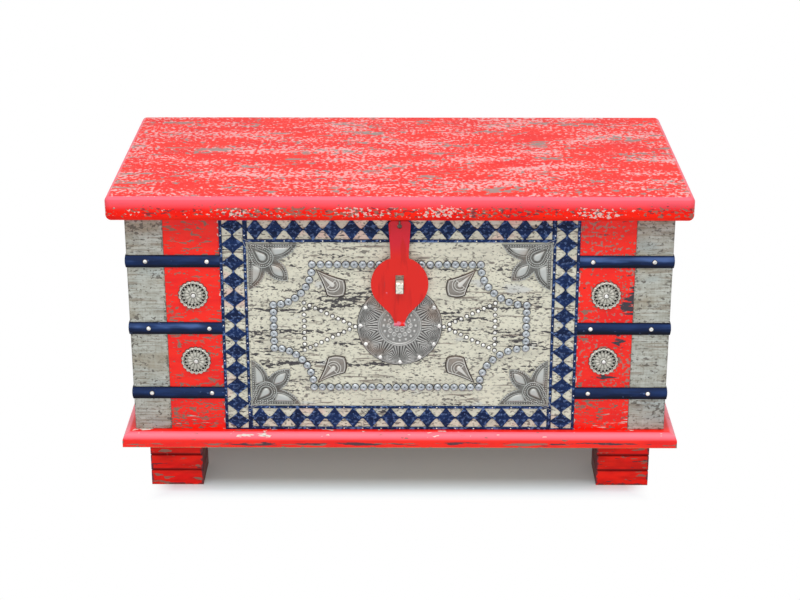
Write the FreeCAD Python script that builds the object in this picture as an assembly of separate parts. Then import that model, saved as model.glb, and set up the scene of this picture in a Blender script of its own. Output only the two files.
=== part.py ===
import FreeCAD, Part
import math
import os

# Painted storage chest: posts and boards on a mitred plinth with four block feet,
# a hinged slab lid, a hanging hasp and nailed sheet-metal ornament on the front.
# Millimetres. Origin on the floor under the middle, +Z up, the front faces -Y.

V = FreeCAD.Vector
AXIS_X, AXIS_Y, AXIS_Z = V(1, 0, 0), V(0, 1, 0), V(0, 0, 1)

# Overall
chest_length = 800.0
chest_depth = 400.0
chest_height = 450.0

# Lid
lid_thickness = 35.0
lid_overhang = 22.5
lid_edge_radius = 8.0

# Feet and plinth
foot_height = 73.0
foot_width = 75.0
foot_depth = 70.0
foot_inset_x = 17.5
foot_inset_y = 10.0
foot_tiers = 3
foot_tier_chamfer = 2.6
plinth_thickness = 21.0
plinth_overhang = 17.5
plinth_rail_width = 65.0
plinth_edge_radius = 12.0

# Walls
post_width = 52.0
wall_thickness = 20.0
tongue_thickness = 8.0
tongue_length = 12.0
joint_clearance = 0.2
front_board_width = 77.0
bottom_thickness = 12.0
bottom_clearance = 0.5

# Pierced border strips
border_width = 37.0
border_line_width = 4.2
border_sheet = 1.0
diamond_pitch = 27.0
diamond_waist = 3.0
opening_base_share = 0.44

# Corner straps
strap_width = 18.0
strap_edge_thickness = 1.0
strap_crown = 1.0
strap_end_leg = 118.0
strap_height_shares = (0.178, 0.486, 0.797)
strap_nail_inset = 18.0

# Rosettes, corner plates, leaves and medallion. The pattern on the centre panel is set out in shares
# of its reach, which is half the height of the field inside the border.
pattern_height_share = 0.584
rosette_radius = 21.8
rosette_sheet = 1.2
rosette_boss_radius = 5.0
rosette_boss_height = 1.6
rosette_petals = 18
rosette_scallop_share = 0.07
rosette_hole_width = 2.8
rosette_hole_shares = (0.60, 0.80)
corner_plate_share = 0.56
corner_plate_sheet = 0.8
corner_plate_relief = 0.9
corner_plate_inset = 2.0
corner_outline_shares = ((0, 0), (1, 0), (0.58, 0.34), (0.79, 0.79), (0.34, 0.58), (0, 1))
corner_bulge_shares = (0, 0.13, 0.16, 0.16, 0.13, 0)
corner_petal_shares = (((0.46, 0.07), (0.88, 0.05), (0.52, 0.24)),
                       ((0.07, 0.46), (0.24, 0.52), (0.05, 0.88)),
                       ((0.47, 0.47), (0.66, 0.52), (0.72, 0.72), (0.52, 0.66)))
corner_eye_tip_share = 0.1
corner_eye_middle_share = 0.29
corner_eye_radius_share = 0.13
leaf_length_share = 0.38
leaf_width_share = 0.243
leaf_sheet = 0.8
leaf_relief = 1.2
leaf_tip_inset = 5.5
leaf_tip_drop = 13.0
leaf_turn = 45.0
leaf_bulge_shares = (0.05, 0.06, 0.06, 0.05)
leaf_drop_tip_share = 0.12
leaf_drop_middle_share = 0.52
leaf_drop_radius_share = 0.23
bow_segments = 4
drop_segments = 8
medallion_share = 0.482
medallion_rim = 9.0
medallion_sheet = 1.2
medallion_crown = 1.0
medallion_ring_share = 0.47
medallion_ring_width = 3.0
medallion_ring_height = 0.8
medallion_petals = 16
medallion_petal_relief = 0.5
medallion_boss_share = 0.27
medallion_studs = 12
medallion_stud_inset = 4.5

# Bead tacks along the scooped frame, and the two arrows of fine pins
frame_width_share = 1.43
frame_height_share = 0.75
frame_scoop_share = 0.486
frame_drop = 1.8
frame_row_shift = -5.0
bead_radius = 5.2
bead_height = 3.0
bead_flat_radius = 2.2
bead_pitch = 11.65
pin_radius = 1.8
pin_height = 1.4
pin_pitch = 9.0
arrow_gap = 2.5
arrow_tail_share = 0.755
arrow_rise = 3.0
nail_radius = 2.7
nail_height = 1.8
head_flat_share = 0.5
head_sides = 5
pin_sides = 4

# Hasp, its eye and the staple
hasp_thickness = 2.5
hasp_standoff = 6.0
hasp_bar_height = 4.4
hasp_hole_play = 2.2
hasp_top_width = 31.0
hasp_neck_width = 25.5
hasp_top_corner = 6.0
hasp_shoulder = 7.5
hasp_disc_radius = 39.7
hasp_waist_width = 25.0
hasp_waist_gap = 4.8
hasp_tip_width = 15.4
hasp_tip_length = 10.3
hasp_curl_radius = 4.0
hasp_curl_angle = 80.0
hasp_slot_side_gap = 0.75
hasp_slot_end_gap = 1.5
hasp_slot_top_room = 8.5
eye_clearance = 0.3
eye_lid_gap = 0.35
eye_wire_radius = 1.2
eye_wire_sides = 6
eye_ring_segments = 16
eye_shank_radius = 2.0
eye_shank_depth = 20.0
staple_width = 10.0
staple_bar = 2.0
staple_height = 17.0
staple_rise = 1.5
staple_reach = 8.0
staple_bend_radius = 3.0
staple_embed = 15.0

# Hinges
hinge_length = 60.0
hinge_inset = 85.5
hinge_barrel_radius = 4.0
hinge_pin_radius = 1.5
hinge_pin_clearance = 0.05
hinge_leaf = 1.5
hinge_leaf_width = 24.0
hinge_knuckles = 3
hinge_barrel_sides = 12
hinge_gap = 0.4
screw_head_radius = 3.2
screw_shank_radius = 1.7
screw_depth = 15.0
screw_head_depth = 1.4
screws_per_leaf = 2
foot_screw_head_radius = 4.5
foot_screw_shank_radius = 2.5
foot_screw_head_depth = 3.0
foot_screw_depth = 55.0
foot_screw_inset = 20.0
drive_fit = 0.05
screw_sides = 6
cut_overrun = 5.0

# Places worked out from the sizes above
body_half_length = chest_length / 2 - lid_overhang
body_half_depth = chest_depth / 2 - lid_overhang
plinth_top = foot_height + plinth_thickness
body_top = chest_height - lid_thickness
body_height = body_top - plinth_top
body_middle = (plinth_top + body_top) / 2
post_inner_x = body_half_length - post_width
post_inner_y = body_half_depth - post_width
centre_half_width = post_inner_x - front_board_width
front_face = -body_half_depth
field_half_width = centre_half_width - border_width
field_bottom = plinth_top + border_width
field_top = body_top - border_width
pattern_reach = min((field_top - field_bottom) / 2, field_half_width * pattern_height_share)
corner_plate_leg = pattern_reach * corner_plate_share
medallion_radius = pattern_reach * medallion_share
medallion_ring_radius = medallion_radius * medallion_ring_share
medallion_boss_radius = medallion_radius * medallion_boss_share
frame_half_width = pattern_reach * frame_width_share
frame_half_height = pattern_reach * frame_height_share
frame_scoop_radius = pattern_reach * frame_scoop_share
frame_middle = body_middle - frame_drop
leaf_length = pattern_reach * leaf_length_share
leaf_width = pattern_reach * leaf_width_share
leaf_tip_x = frame_half_width - frame_scoop_radius - leaf_tip_inset
leaf_tip_rise = frame_half_height - leaf_tip_drop
arrow_tail_x = frame_half_width * arrow_tail_share
arrow_half_height = frame_half_height - frame_scoop_radius + arrow_rise
strap_heights = [plinth_top + share * body_height for share in strap_height_shares]
rosette_heights = [(a + b) / 2 for a, b in zip(strap_heights, strap_heights[1:])]
rosette_x = (centre_half_width + post_inner_x) / 2
post_middle_x = body_half_length - post_width / 2
post_middle_y = body_half_depth - post_width / 2
hasp_back = front_face - hasp_standoff
hasp_front = hasp_back - hasp_thickness
hasp_plane = (hasp_back + hasp_front) / 2
eye_ring_radius = math.hypot(hasp_bar_height, hasp_thickness) / 2 + eye_clearance + eye_wire_radius
eye_height = body_top - eye_ring_radius - eye_wire_radius - eye_lid_gap
hasp_hole_radius = eye_wire_radius + hasp_hole_play
staple_middle = body_middle + medallion_radius + staple_rise
staple_top = staple_middle + staple_height / 2
staple_bottom = staple_middle - staple_height / 2
slot_top = staple_top + hasp_slot_top_room
slot_bottom = staple_bottom - hasp_slot_end_gap
hasp_disc_middle = (slot_top + slot_bottom) / 2
hasp_waist = hasp_disc_middle - hasp_disc_radius - hasp_waist_gap
hasp_tip = hasp_waist - hasp_tip_length
slot_half_width = staple_width / 2 + hasp_slot_side_gap
staple_face = hasp_front - staple_reach
hinge_middle_x = post_inner_x - hinge_inset
hinge_axis_y = body_half_depth + hinge_barrel_radius + hinge_gap
hinge_axis_z = body_top + hinge_leaf - hinge_barrel_radius
sides = {"left": -1, "right": 1}


# Shape helpers

def block(x0, x1, y0, y1, z0, z1):
    low = V(min(x0, x1), min(y0, y1), min(z0, z1))
    high = V(max(x0, x1), max(y0, y1), max(z0, z1))
    size = high - low
    return Part.makeBox(size.x, size.y, size.z, low)


def bow(start, end, bulge_share):
    """Points from start up to end on a curve that bows to the right of the way by a share of its chord."""
    chord = end - start
    across = V(chord.z, 0, -chord.x) * bulge_share
    count = bow_segments if bulge_share else 1
    return [start + chord * (i / count) + across * (4 * i * (count - i) / count ** 2) for i in range(count)]


def line(start, end):
    return Part.LineSegment(start, end).toShape()


def outline(points, bulges=None):
    """A closed wire in the XZ plane through points, with a bowed side where a bulge isn't zero."""
    path = []
    for i, start in enumerate(points):
        path += bow(start, points[(i + 1) % len(points)], bulges[i] if bulges else 0)
    return Part.makePolygon(path + path[:1])


def sheet(wires, back, thickness):
    """A plate of that thickness whose back lies in the plane y = back and whose face looks to -Y."""
    face = Part.makeFace(wires, "Part::FaceMakerBullseye")
    face.translate(V(0, back, 0))
    return face.extrude(V(0, -thickness, 0))


def stacked(rows, split=False, looped=False):
    """A closed solid through rings of points, each ring with as many points as the next."""
    faces = [] if looped else [polygon(rows[0]), polygon(rows[-1])]
    for low, high in zip(rows, rows[1:] + (rows[:1] if looped else [])):
        for i, corner in enumerate(low):
            j = (i + 1) % len(low)
            if split:
                faces += [polygon([corner, low[j], high[j]]), polygon([corner, high[j], high[i]])]
            else:
                faces.append(polygon([corner, low[j], high[j], high[i]]))
    solid = Part.makeSolid(Part.makeShell(faces))
    return solid if solid.Volume > 0 else solid.reversed()


def polygon(points):
    return Part.Face(Part.makePolygon(points + points[:1]))


def faceted(rings, place, way, side_count):
    """A many-sided head or screw. The rings hold (radius, advance along way), starting at place."""
    across = AXIS_Y if abs(way.x) else AXIS_X
    other = way.cross(across)
    turns = [2 * math.pi * i / side_count for i in range(side_count)]
    spokes = [across * math.cos(t) + other * math.sin(t) for t in turns]
    return stacked([[place + way * advance + spoke * radius for spoke in spokes]
                    for radius, advance in rings])


def round_head(radius, height, place, way, side_count):
    return faceted([(radius, 0), (radius * head_flat_share, height)], place, way, side_count)


def spaced(start, end, pitch, with_end=True):
    """Evenly spaced points from start to end, at about that pitch."""
    steps = max(1, round((end - start).Length / pitch))
    return [start + (end - start) * (i / steps) for i in range(steps + with_end)]


def mirrored(shape, across_x, across_z):
    if across_x:
        shape = shape.mirror(V(0, 0, 0), AXIS_X)
    if across_z:
        shape = shape.mirror(V(0, 0, body_middle), AXIS_Z)
    return shape


def countersunk(tip, way, shank_radius, depth, head_radius, head_depth, spare=0):
    """A screw, or with spare its hole. The head's flat face is centred on tip, the shank runs along way."""
    shank = shank_radius + spare
    rings = [(head_radius + spare, 0), (shank, head_depth), (shank, depth + spare)]
    return faceted(rings, tip, way, screw_sides)


# Wooden case

def corner_post(side_x, side_y):
    post = block(side_x * post_inner_x, side_x * body_half_length,
                 side_y * post_inner_y, side_y * body_half_depth, plinth_top, body_top)
    half = tongue_thickness / 2 + joint_clearance
    reach = tongue_length + joint_clearance
    wall_y = side_y * (body_half_depth - wall_thickness / 2)
    wall_x = side_x * (body_half_length - wall_thickness / 2)
    long_groove = block(side_x * (post_inner_x - cut_overrun), side_x * (post_inner_x + reach),
                        wall_y - half, wall_y + half, plinth_top - cut_overrun, body_top + cut_overrun)
    end_groove = block(wall_x - half, wall_x + half,
                       side_y * (post_inner_y - cut_overrun), side_y * (post_inner_y + reach),
                       plinth_top - cut_overrun, body_top + cut_overrun)
    return post.cut([long_groove, end_groove])


def tongue(x0, x1, y0, y1):
    return block(x0, x1, y0, y1, plinth_top, body_top)


def long_wall(x0, x1, side_y, tongue_low, tongue_high):
    """A board of the front or back from x0 to x1, with a tongue on each end that is asked for."""
    outer = side_y * body_half_depth
    middle = side_y * (body_half_depth - wall_thickness / 2)
    board = tongue(x0, x1, outer, side_y * (body_half_depth - wall_thickness))
    half = tongue_thickness / 2
    if tongue_low:
        board = board.fuse(tongue(x0 - tongue_length, x0, middle - half, middle + half))
    if tongue_high:
        board = board.fuse(tongue(x1, x1 + tongue_length, middle - half, middle + half))
    return board.removeSplitter()


def front_side_board(side):
    board = long_wall(-post_inner_x, -centre_half_width, -1, True, False)
    half = tongue_thickness / 2 + joint_clearance
    middle = -(body_half_depth - wall_thickness / 2)
    groove = block(-centre_half_width - tongue_length - joint_clearance, -centre_half_width + cut_overrun,
                   middle - half, middle + half, plinth_top - cut_overrun, body_top + cut_overrun)
    board = board.cut(groove)
    return mirrored(board, side > 0, False)


def front_centre_panel():
    return long_wall(-centre_half_width, centre_half_width, -1, True, True).cut(staple_holes())


def back_panel():
    panel = long_wall(-post_inner_x, post_inner_x, 1, True, True)
    return panel.cut([hinge_screw(side, i, False, drive_fit)
                      for side in sides.values() for i in range(screws_per_leaf)])


def end_panel(side):
    outer = side * body_half_length
    middle = side * (body_half_length - wall_thickness / 2)
    half = tongue_thickness / 2
    reach = post_inner_y + tongue_length
    board = tongue(outer, side * (body_half_length - wall_thickness), -post_inner_y, post_inner_y)
    return board.fuse(tongue(middle - half, middle + half, -reach, reach)).removeSplitter()


def bottom_board():
    half_x = body_half_length - wall_thickness - bottom_clearance
    half_y = body_half_depth - wall_thickness - bottom_clearance
    top = plinth_top + bottom_thickness
    board = block(-half_x, half_x, -half_y, half_y, plinth_top, top)
    notch_x = post_inner_x - bottom_clearance
    notch_y = post_inner_y - bottom_clearance
    notches = [block(x * notch_x, x * (half_x + cut_overrun), y * notch_y, y * (half_y + cut_overrun),
                     plinth_top - cut_overrun, top + cut_overrun)
               for x in (-1, 1) for y in (-1, 1)]
    return board.cut(notches)


def plinth_rails():
    """Four mitred rails cut from one ring with a rounded upper edge."""
    half_x = body_half_length + plinth_overhang
    half_y = body_half_depth + plinth_overhang
    inner_x, inner_y = half_x - plinth_rail_width, half_y - plinth_rail_width
    slab = block(-half_x, half_x, -half_y, half_y, foot_height, plinth_top)
    rims = [e for e in slab.Edges if all(abs(v.Z - plinth_top) < joint_clearance for v in e.Vertexes)]
    ring = slab.makeFillet(plinth_edge_radius, rims)
    ring = ring.cut(block(-inner_x, inner_x, -inner_y, inner_y,
                          foot_height - cut_overrun, plinth_top + cut_overrun))
    ring = ring.cut([foot_screw(x, y, long, drive_fit)
                     for x in (-1, 1) for y in (-1, 1) for long in (True, False)])
    rails = {}
    for name, side_x, side_y in (("front", 0, -1), ("back", 0, 1), ("left", -1, 0), ("right", 1, 0)):
        if side_y:
            plan = [V(-half_x, side_y * half_y, 0), V(half_x, side_y * half_y, 0),
                    V(inner_x, side_y * inner_y, 0), V(-inner_x, side_y * inner_y, 0)]
        else:
            plan = [V(side_x * half_x, -half_y, 0), V(side_x * half_x, half_y, 0),
                    V(side_x * inner_x, inner_y, 0), V(side_x * inner_x, -inner_y, 0)]
        mitre = Part.Face(Part.makePolygon(plan + plan[:1]))
        mitre.translate(V(0, 0, foot_height - cut_overrun))
        wedge = mitre.extrude(AXIS_Z * (plinth_thickness + 2 * cut_overrun))
        rails[f"plinth_{name}_rail"] = ring.common(wedge)
    return rails


def foot(side_x, side_y):
    x1 = body_half_length - foot_inset_x
    y1 = body_half_depth - foot_inset_y
    x0, y0 = x1 - foot_width, y1 - foot_depth
    tier = foot_height / foot_tiers
    tiers = []
    for i in range(foot_tiers):
        layer = block(side_x * x0, side_x * x1, side_y * y0, side_y * y1, i * tier, (i + 1) * tier)
        if i < foot_tiers - 1:
            level = (i + 1) * tier
            rim = [e for e in layer.Edges if all(abs(v.Z - level) < joint_clearance for v in e.Vertexes)]
            layer = layer.makeChamfer(foot_tier_chamfer, rim)
        tiers.append(layer)
    whole = tiers[0].fuse(tiers[1:]).removeSplitter()
    return whole.cut([foot_screw(side_x, side_y, long, drive_fit) for long in (True, False)])


def foot_screw(side_x, side_y, through_long_rail, spare=0):
    """A screw from the top of a plinth rail down into the foot below it."""
    inner_x = body_half_length + plinth_overhang - plinth_rail_width
    inner_y = body_half_depth + plinth_overhang - plinth_rail_width
    foot_x, foot_y = body_half_length - foot_inset_x, body_half_depth - foot_inset_y
    if through_long_rail:
        x, y = foot_x - foot_width + foot_screw_inset, (inner_y + foot_y) / 2
    else:
        x, y = (inner_x + foot_x) / 2, foot_y - foot_depth + foot_screw_inset
    tip = V(side_x * x, side_y * y, plinth_top)
    return countersunk(tip, -AXIS_Z, foot_screw_shank_radius, foot_screw_depth,
                       foot_screw_head_radius, foot_screw_head_depth, spare)


# Lid and hinges

def lid_board():
    half_x, half_y = chest_length / 2, chest_depth / 2
    slab = block(-half_x, half_x, -half_y, half_y, body_top, chest_height)
    slab = slab.makeFillet(lid_edge_radius, slab.Edges)
    cuts = []
    for side in sides.values():
        x0 = side * hinge_middle_x - hinge_length / 2
        x1 = x0 + hinge_length
        front = hinge_axis_y - hinge_leaf_width
        barrel = hinge_barrel_radius + hinge_gap
        cuts.append(block(x0 - hinge_gap, x1 + hinge_gap, front - hinge_gap, hinge_axis_y,
                          body_top - cut_overrun, body_top + hinge_leaf))
        cuts.append(block(x0 - hinge_gap, x1 + hinge_gap, hinge_axis_y - barrel, hinge_axis_y + barrel,
                          body_top - cut_overrun, body_top + hinge_leaf + hinge_gap))
        cuts += [hinge_screw(side, i, True, drive_fit) for i in range(screws_per_leaf)]
    cuts.append(Part.makeCylinder(eye_shank_radius + drive_fit, eye_shank_depth + cut_overrun + drive_fit,
                                  V(0, hasp_plane, body_top - cut_overrun), AXIS_Z))
    return slab.cut(cuts)


def hinge_axis(side):
    return V(side * hinge_middle_x - hinge_length / 2, hinge_axis_y, hinge_axis_z)


def hinge_screw(side, index, on_lid, spare=0):
    step = hinge_length / screws_per_leaf
    x = side * hinge_middle_x - hinge_length / 2 + step * (index + 1 / 2)
    middle = hinge_barrel_radius + (hinge_leaf_width - hinge_barrel_radius) / 2
    if on_lid:
        tip, way = V(x, hinge_axis_y - middle, body_top), AXIS_Z
    else:
        tip, way = V(x, body_half_depth + hinge_leaf, hinge_axis_z - middle), -AXIS_Y
    return countersunk(tip, way, screw_shank_radius, screw_depth, screw_head_radius, screw_head_depth, spare)


def hinge_leaf_solid(side, on_lid):
    start = hinge_axis(side)
    knuckle = hinge_length / hinge_knuckles

    def knuckles(first, radius, grow):
        return [faceted([(radius, knuckle * i - grow), (radius, knuckle * (i + 1) + grow)], start, AXIS_X,
                        hinge_barrel_sides) for i in range(first, hinge_knuckles, 2)]

    if on_lid:
        plate = block(start.x, start.x + hinge_length, hinge_axis_y - hinge_leaf_width, hinge_axis_y,
                      body_top, body_top + hinge_leaf)
    else:
        plate = block(start.x, start.x + hinge_length, body_half_depth, body_half_depth + hinge_leaf,
                      hinge_axis_z - hinge_leaf_width, hinge_axis_z)
    own, other = (1, 0) if on_lid else (0, 1)
    leaf = plate.fuse(knuckles(own, hinge_barrel_radius, -hinge_gap / 2 if on_lid else 0)).removeSplitter()
    bore = Part.makeCylinder(hinge_pin_radius + hinge_pin_clearance, hinge_length + 2 * cut_overrun,
                             start - AXIS_X * cut_overrun, AXIS_X)
    holes = [hinge_screw(side, i, on_lid, drive_fit) for i in range(screws_per_leaf)]
    room = (hinge_barrel_radius + hinge_gap) / math.cos(math.pi / hinge_barrel_sides)
    leaf = leaf.cut(knuckles(other, room, hinge_gap / 2))
    return leaf.cut([bore] + holes)


def hinge_pin(side):
    return Part.makeCylinder(hinge_pin_radius, hinge_length, hinge_axis(side), AXIS_X)


def hinge_screws(on_lid):
    return Part.makeCompound([hinge_screw(side, i, on_lid)
                              for side in sides.values() for i in range(screws_per_leaf)])


# Hasp, eye and staple

def tangent_point(px, drop):
    """Where the line from a point below the disc touches it, as (x, distance below the disc's middle)."""
    reach = math.hypot(px, drop)
    toward = math.atan2(px, drop)
    spread = math.acos(hasp_disc_radius / reach)
    angle = toward + spread
    return hasp_disc_radius * math.sin(angle), hasp_disc_radius * math.cos(angle)


def hasp():
    middle = hasp_disc_middle
    top = eye_height + hasp_bar_height / 2
    shoulder = middle + hasp_disc_radius + hasp_shoulder
    half_top, half_neck = hasp_top_width / 2, hasp_neck_width / 2
    neck = sheet([outline([V(-half_top, 0, top), V(half_top, 0, top), V(half_neck, 0, shoulder),
                           V(half_neck, 0, middle), V(-half_neck, 0, middle), V(-half_neck, 0, shoulder)])],
                 hasp_back, hasp_thickness)
    corners = [e for e in neck.Edges if abs(e.tangentAt(e.FirstParameter).y) > 0.5
               and abs(e.Vertexes[0].Z - top) < joint_clearance]
    neck = neck.makeFillet(hasp_top_corner, corners)
    disc = Part.makeCylinder(hasp_disc_radius, hasp_thickness, V(0, hasp_back, middle), -AXIS_Y)
    half_waist, half_tip = hasp_waist_width / 2, hasp_tip_width / 2
    waist, tip = hasp_waist, hasp_tip
    touch_x, touch_drop = tangent_point(half_waist, middle - waist)
    touch = middle - touch_drop
    tail = sheet([outline([V(-touch_x, 0, touch), V(-half_waist, 0, waist), V(-half_tip, 0, tip),
                           V(half_tip, 0, tip), V(half_waist, 0, waist), V(touch_x, 0, touch),
                           V(0, 0, middle)])], hasp_back, hasp_thickness)
    curl_middle = V(-half_tip, hasp_front - hasp_curl_radius, tip)
    start = block(-half_tip, half_tip, hasp_front, hasp_back, tip, tip + hasp_thickness)
    foot_face = [f for f in start.Faces if abs(f.CenterOfMass.z - tip) < joint_clearance][0]
    curl = foot_face.revolve(curl_middle, -AXIS_X, hasp_curl_angle)
    plate = neck.fuse([disc, tail, curl]).removeSplitter()
    slot = block(-slot_half_width, slot_half_width, hasp_back + cut_overrun, hasp_front - cut_overrun,
                 slot_bottom, slot_top)
    hole_middle = V(0, hasp_back + cut_overrun, eye_height - hasp_bar_height / 2 - hasp_hole_radius)
    hole = Part.makeCylinder(hasp_hole_radius, hasp_thickness + 2 * cut_overrun, hole_middle, -AXIS_Y)
    return plate.cut([slot, hole])


def hasp_eye():
    middle = V(0, hasp_plane, eye_height)
    start = middle + AXIS_Z * eye_ring_radius
    corner_radius = eye_wire_radius / math.cos(math.pi / eye_wire_sides)
    turns = [2 * math.pi * (i + 1 / 2) / eye_wire_sides for i in range(eye_wire_sides)]
    rows = []
    for i in range(eye_ring_segments):
        turn = 2 * math.pi * i / eye_ring_segments
        out = V(0, math.sin(turn), math.cos(turn))
        rows.append([middle + AXIS_X * (corner_radius * math.sin(t))
                     + out * (eye_ring_radius + corner_radius * math.cos(t)) for t in turns])
    loop = stacked(rows, looped=True)
    shank = Part.makeCylinder(eye_shank_radius, body_top + eye_shank_depth - start.z, start, AXIS_Z)
    return loop.fuse(shank)


def staple_holes():
    """The mortises that the two legs of the staple are driven into."""
    half_width = staple_width / 2 + drive_fit
    return [block(-half_width, half_width, front_face - cut_overrun, front_face + staple_embed + drive_fit,
                  low - drive_fit, low + staple_bar + drive_fit)
            for low in (staple_bottom, staple_top - staple_bar)]


def hasp_staple():
    half = staple_width / 2
    outer = block(-half, half, staple_face, front_face + staple_embed, staple_bottom, staple_top)
    nose = [e for e in outer.Edges if abs(e.tangentAt(e.FirstParameter).x) > 0.5
            and abs(e.Vertexes[0].Y - staple_face) < joint_clearance]
    outer = outer.makeFillet(staple_bend_radius, nose)
    gap = block(-half - cut_overrun, half + cut_overrun, staple_face + staple_bar,
                front_face + staple_embed + cut_overrun, staple_bottom + staple_bar, staple_top - staple_bar)
    inside = [e for e in gap.Edges if abs(e.tangentAt(e.FirstParameter).x) > 0.5
              and abs(e.Vertexes[0].Y - staple_face - staple_bar) < joint_clearance]
    return outer.cut(gap.makeFillet(staple_bend_radius - staple_bar, inside))


# Sheet-metal ornament on the front

def pierced_strip(start, along, across, length):
    """A border strip with two plain edges and a chain of diamonds between rows of openings."""
    def at(run, rise):
        return start + along * run + across * rise

    count = max(1, round(length / diamond_pitch))
    pitch = length / count
    middle = border_width / 2
    wires = [outline([at(0, 0), at(length, 0), at(length, border_width), at(0, border_width)])]
    base = pitch * opening_base_share
    for i in range(count + 1):
        waist = i * pitch
        low = -1 if i else 0
        high = 1 if i < count else 0
        edge_low = 0 if low else border_line_width / 2
        edge_high = 0 if high else -border_line_width / 2
        for rise_base, rise_apex in ((border_line_width, middle - diamond_waist / 2),
                                     (border_width - border_line_width, middle + diamond_waist / 2)):
            wires.append(outline([at(waist + low * base + edge_low, rise_base),
                                  at(waist + high * base + edge_high, rise_base),
                                  at(waist + edge_low + edge_high, rise_apex)]))
    return sheet(wires, front_face, border_sheet)


def border_strips():
    upright, level = V(0, 0, 1), V(1, 0, 0)
    inner_length = 2 * field_half_width
    strips = {
        f"border_{name}_strip": pierced_strip(V(-field_half_width, 0, low), level, upright, inner_length)
        for name, low in (("bottom", plinth_top), ("top", field_top))}
    left = pierced_strip(V(-centre_half_width, 0, plinth_top), upright, level, body_height)
    strips["border_left_strip"] = left
    strips["border_right_strip"] = mirrored(left, True, False)
    return strips


def corner_strap(side, height):
    """A crowned strap that wraps the front corner, mitred where it turns."""
    half = strap_width / 2
    thick = strap_edge_thickness + strap_crown

    def leg(turn, start, length):
        upper_edge, lower_edge = [V(0, -strap_edge_thickness, rise) for rise in (half, -half)]
        section = Part.Wire([
            line(V(0, 0, -half), V(0, 0, half)), line(V(0, 0, half), upper_edge),
            Part.Arc(upper_edge, V(0, -thick, 0), lower_edge).toShape(), line(lower_edge, V(0, 0, -half))])
        bar = Part.Face(section).extrude(AXIS_X * length)
        bar.rotate(V(0, 0, 0), AXIS_Z, turn)
        bar.translate(start)
        return bar

    corner = V(body_half_length, front_face, height)
    front_length = body_half_length - centre_half_width
    front = leg(0, V(centre_half_width, front_face, height), front_length + thick)
    end = leg(90, corner - AXIS_Y * thick, strap_end_leg + thick)
    far = max(front_length, strap_end_leg) + thick
    wedge = Part.Face(Part.makePolygon([corner + V(-far, far, -half), corner + V(thick, -thick, -half),
                                        corner + V(-far, -thick, -half), corner + V(-far, far, -half)]))
    front_wedge = wedge.extrude(AXIS_Z * strap_width)
    strap = front.common(front_wedge).fuse(end.cut(front_wedge)).removeSplitter()
    return mirrored(strap, side < 0, False)


def rosette(side, height):
    middle = V(side * rosette_x, front_face, height)
    notch = rosette_radius * (1 - rosette_scallop_share)
    points = []
    for i in range(rosette_petals):
        for step, radius in enumerate((notch, rosette_radius)):
            angle = 2 * math.pi * (i + step / 2) / rosette_petals
            points.append(V(math.cos(angle), 0, math.sin(angle)) * radius)
    wires = [outline(points)]
    inner, outer = [rosette_radius * share for share in rosette_hole_shares]
    for i in range(rosette_petals):
        angle = 2 * math.pi * (i + 1 / 2) / rosette_petals
        along = V(math.cos(angle), 0, math.sin(angle))
        across = V(-along.z, 0, along.x) * (rosette_hole_width / 2)
        wires.append(outline([along * inner, along * outer + across, along * outer - across]))
    plate = sheet(wires, 0, rosette_sheet)
    boss_rings = [(rosette_boss_radius, rosette_sheet), (nail_radius, rosette_sheet + rosette_boss_height)]
    boss = faceted(boss_rings, V(0, 0, 0), -AXIS_Y, head_sides)
    whole = plate.fuse(boss)
    whole.translate(middle)
    return whole


def teardrop(point_at, round_middle, radius):
    """A closed wire: a round end about round_middle drawn out to a point."""
    axis = round_middle - point_at
    reach = axis.Length
    along = axis / reach
    across = V(along.z, 0, -along.x)
    touch = math.pi - math.acos(radius / reach)
    path = [point_at]
    for i in range(drop_segments + 1):
        turn = touch * (1 - 2 * i / drop_segments)
        path.append(round_middle + (along * math.cos(turn) + across * math.sin(turn)) * radius)
    return Part.makePolygon(path + path[:1])


def corner_plate(side, upper):
    """An embossed corner: two petals along the edges, one on the diagonal and an eye in the corner."""
    leg = corner_plate_leg

    def at(share_x, share_z):
        return V(share_x, 0, share_z) * leg

    plate = sheet([outline([at(*p) for p in corner_outline_shares], corner_bulge_shares)], 0,
                  corner_plate_sheet)
    proud = corner_plate_sheet + corner_plate_relief
    raised = [sheet([outline([at(*p) for p in petal])], 0, proud) for petal in corner_petal_shares]
    eye_tip = at(corner_eye_tip_share, corner_eye_tip_share)
    eye_middle = at(corner_eye_middle_share, corner_eye_middle_share)
    raised.append(sheet([teardrop(eye_tip, eye_middle, corner_eye_radius_share * leg)], 0, proud))
    plate = plate.fuse(raised)
    plate.translate(V(-field_half_width + corner_plate_inset, front_face, field_bottom + corner_plate_inset))
    return mirrored(plate, side > 0, upper)


def leaf_plate(side, upper):
    """A kite-shaped leaf with a raised drop, its point outwards."""
    shoulder = leaf_length - leaf_width / 2
    half = leaf_width / 2
    corners = [V(0, 0, 0), V(shoulder, 0, -half), V(leaf_length, 0, 0), V(shoulder, 0, half)]
    plate = sheet([outline(corners, leaf_bulge_shares)], 0, leaf_sheet)
    drop_tip = V(leaf_length * leaf_drop_tip_share, 0, 0)
    drop_middle = V(leaf_length * leaf_drop_middle_share, 0, 0)
    drop = sheet([teardrop(drop_tip, drop_middle, leaf_width * leaf_drop_radius_share)], 0,
                 leaf_sheet + leaf_relief)
    leaf = plate.fuse(drop)
    leaf.rotate(V(0, 0, 0), AXIS_Y, -leaf_turn)
    leaf.translate(V(-leaf_tip_x, front_face, frame_middle - leaf_tip_rise))
    if upper:
        leaf = leaf.mirror(V(0, 0, frame_middle), AXIS_Z)
    leaf = mirrored(leaf, side > 0, False)
    leaf.translate(V(frame_row_shift, 0, 0))
    return leaf


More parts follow.
